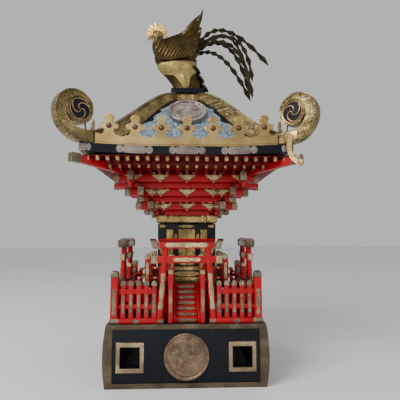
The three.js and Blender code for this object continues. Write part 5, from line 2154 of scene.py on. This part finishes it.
def wing_outline():
    lower = [
        (-122, 1068), (-119, 1056), (-111, 1040), (-97, 1028), (-78, 1025), (-58, 1026), (-34, 1029),
        (-10, 1032), (12, 1034), (31, 1035)
    ]
    rear = [
        (36, 1048), (28, 1054), (38, 1066), (29, 1072), (40, 1086), (31, 1091), (44, 1104), (34, 1108),
        (48, 1120), (38, 1125), (51, 1137), (42, 1143)
    ]
    tip = [(49, 1162), (53.5, 1184), (54, 1203), (47, 1186), (40, 1168), (32, 1154)]
    upper = [
        (23, 1144), (9, 1134), (-8, 1125), (-28, 1117), (-48, 1110), (-66, 1104), (-83, 1098), (-100, 1092),
        (-116, 1084)
    ]
    return lower + rear + tip + upper


def wing_side():
    """The wing on the near side: its sheet bent to its spread, and the feathers laid on it."""
    feather = leaf_shape(78, 15, 3.4, 18)
    laid = []
    for i in range(13):
        share = i / 12
        x = -112 + 132 * share
        rise = 1.15 - 0.40 * share
        laid.append((x, 1033 + 22 * (1 - share) ** 6, rise, min(0.86, (38 - x) / (78 * cos(rise)))))
    for drop in (21, 8):
        for low, high in zip(WING_EDGE[:3], WING_EDGE[1:]):
            rise = atan2(high[1] - low[1], high[0] - low[0])
            laid.append((low[0] + 5, low[1] - drop, rise, 0.80))
    laid += [
        (-20, 1108, 0.86, 1.26), (-14, 1098, 0.66, 0.88), (-10, 1086, 0.58, 0.78), (-8, 1074, 0.42, 0.66)
    ]
    parts = [outline_plate(wing_outline(), 1.6, 3.2, edge=0.6)]
    for x, z, rise, size in laid:
        parts.append(set_feather(feather, (x, -2.2, z), (cos(rise), 0.0, sin(rise)), (0, -1, 0), size, 0.02))
    bpy.data.objects.remove(feather)
    edge = [Vector((x, -1.0, z)) for x, z in WING_EDGE]
    curve = [edge[0]]
    for a, b in zip(edge, edge[1:]):
        curve += [a.lerp(b, 0.5), b]
    parts.append(wire(curve, 2.4, sides=8, taper=0.6))
    wing = join(parts, BIRD)
    for vertex in wing.data.vertices:
        x, y, z = (value / MM for value in vertex.co)
        vertex.co.y = (y - wing_spread(x, z)) * MM
    return wing


wing = wing_side()
keep(wing, "phoenix_wing_left_finish", "phoenix_wing_left")
far_wing = turned_copy(wing, Matrix.Scale(-1, 4, (0, 1, 0)))
keep(far_wing, "phoenix_wing_right_finish", "phoenix_wing_right")

# The phoenix's tail: a sheaf of long strips cut from sheet bronze into chains of lozenges, each with a
# raised rib down its middle. They spring from a boss behind the body, arch over and hang in mid air.
TAIL = metal_finish(
    "tail_bronze", "dark_bronze", (0.012, 0.010, 0.005), (0.040, 0.034, 0.016), (0.11, 0.092, 0.05), 12,
    roughness=0.4, grooves=2.0, relief=0.0003
)


def lozenge_strand(start, bend, tip, y, count, half):
    """A strand: flat lozenges along an arching line, with notches between them and a rib on both faces."""

    def at(share):
        weights = ((1 - share) ** 2, 2 * share * (1 - share), share ** 2)
        return Vector([sum(w * p[axis] for w, p in zip(weights, (start, bend, tip))) for axis in (0, 1)])

    left, right = [], []
    for i in range(2 * count + 1):
        share = i / (2 * count)
        ahead = at(min(share + 0.01, 1.0)) - at(max(share - 0.01, 0.0))
        across = Vector((-ahead.y, ahead.x)).normalized()
        reach = half if i % 2 else 3.4
        reach = 0.4 if i == 2 * count else reach
        point = at(share)
        slide = ahead.normalized() * (3.0 if i % 2 else 0.0)
        left.append(tuple(point + across * reach + slide))
        right.append(tuple(point - across * reach - slide))
    strip = outline_plate((left + right[::-1])[::-1], y + 1.0, 2.0, edge=0.4)
    parts = [strip]
    for face in (-1.0, 1.0):
        line = [(at(i / 30).x, y + face, at(i / 30).y) for i in range(31)]
        parts.append(wire(line, 0.9, sides=6, taper=0.3))
    return parts


def tail():
    parts = [block((37, 44.5), (-20, 20), (1071.5, 1106), edge=2.5, steps=3)]
    # Root, bend and tip in x and z, then y, the number of lozenges and their half width.
    strands = (
        ((40, 1102), (118, 1252), (297, 1030), 0, 8, 10.0),
        ((40, 1096), (214, 1214), (234, 963), -9, 8, 9.2),
        ((40, 1090), (170, 1190), (226, 930), 10, 8, 9.2),
        ((40, 1084), (196, 1182), (232, 898), -17, 8, 9.6),
        ((40, 1078), (132, 1126), (232, 902), 17, 8, 9.6),
        ((40, 1099), (176, 1232), (222, 985), 5, 7, 6.6),
    )
    for start, bend, tip, y, count, half in strands:
        parts += lozenge_strand(start, bend, tip, y, count, half)
    return parts


keep(join(tail(), TAIL), "phoenix_tail_finish", "phoenix_tail")
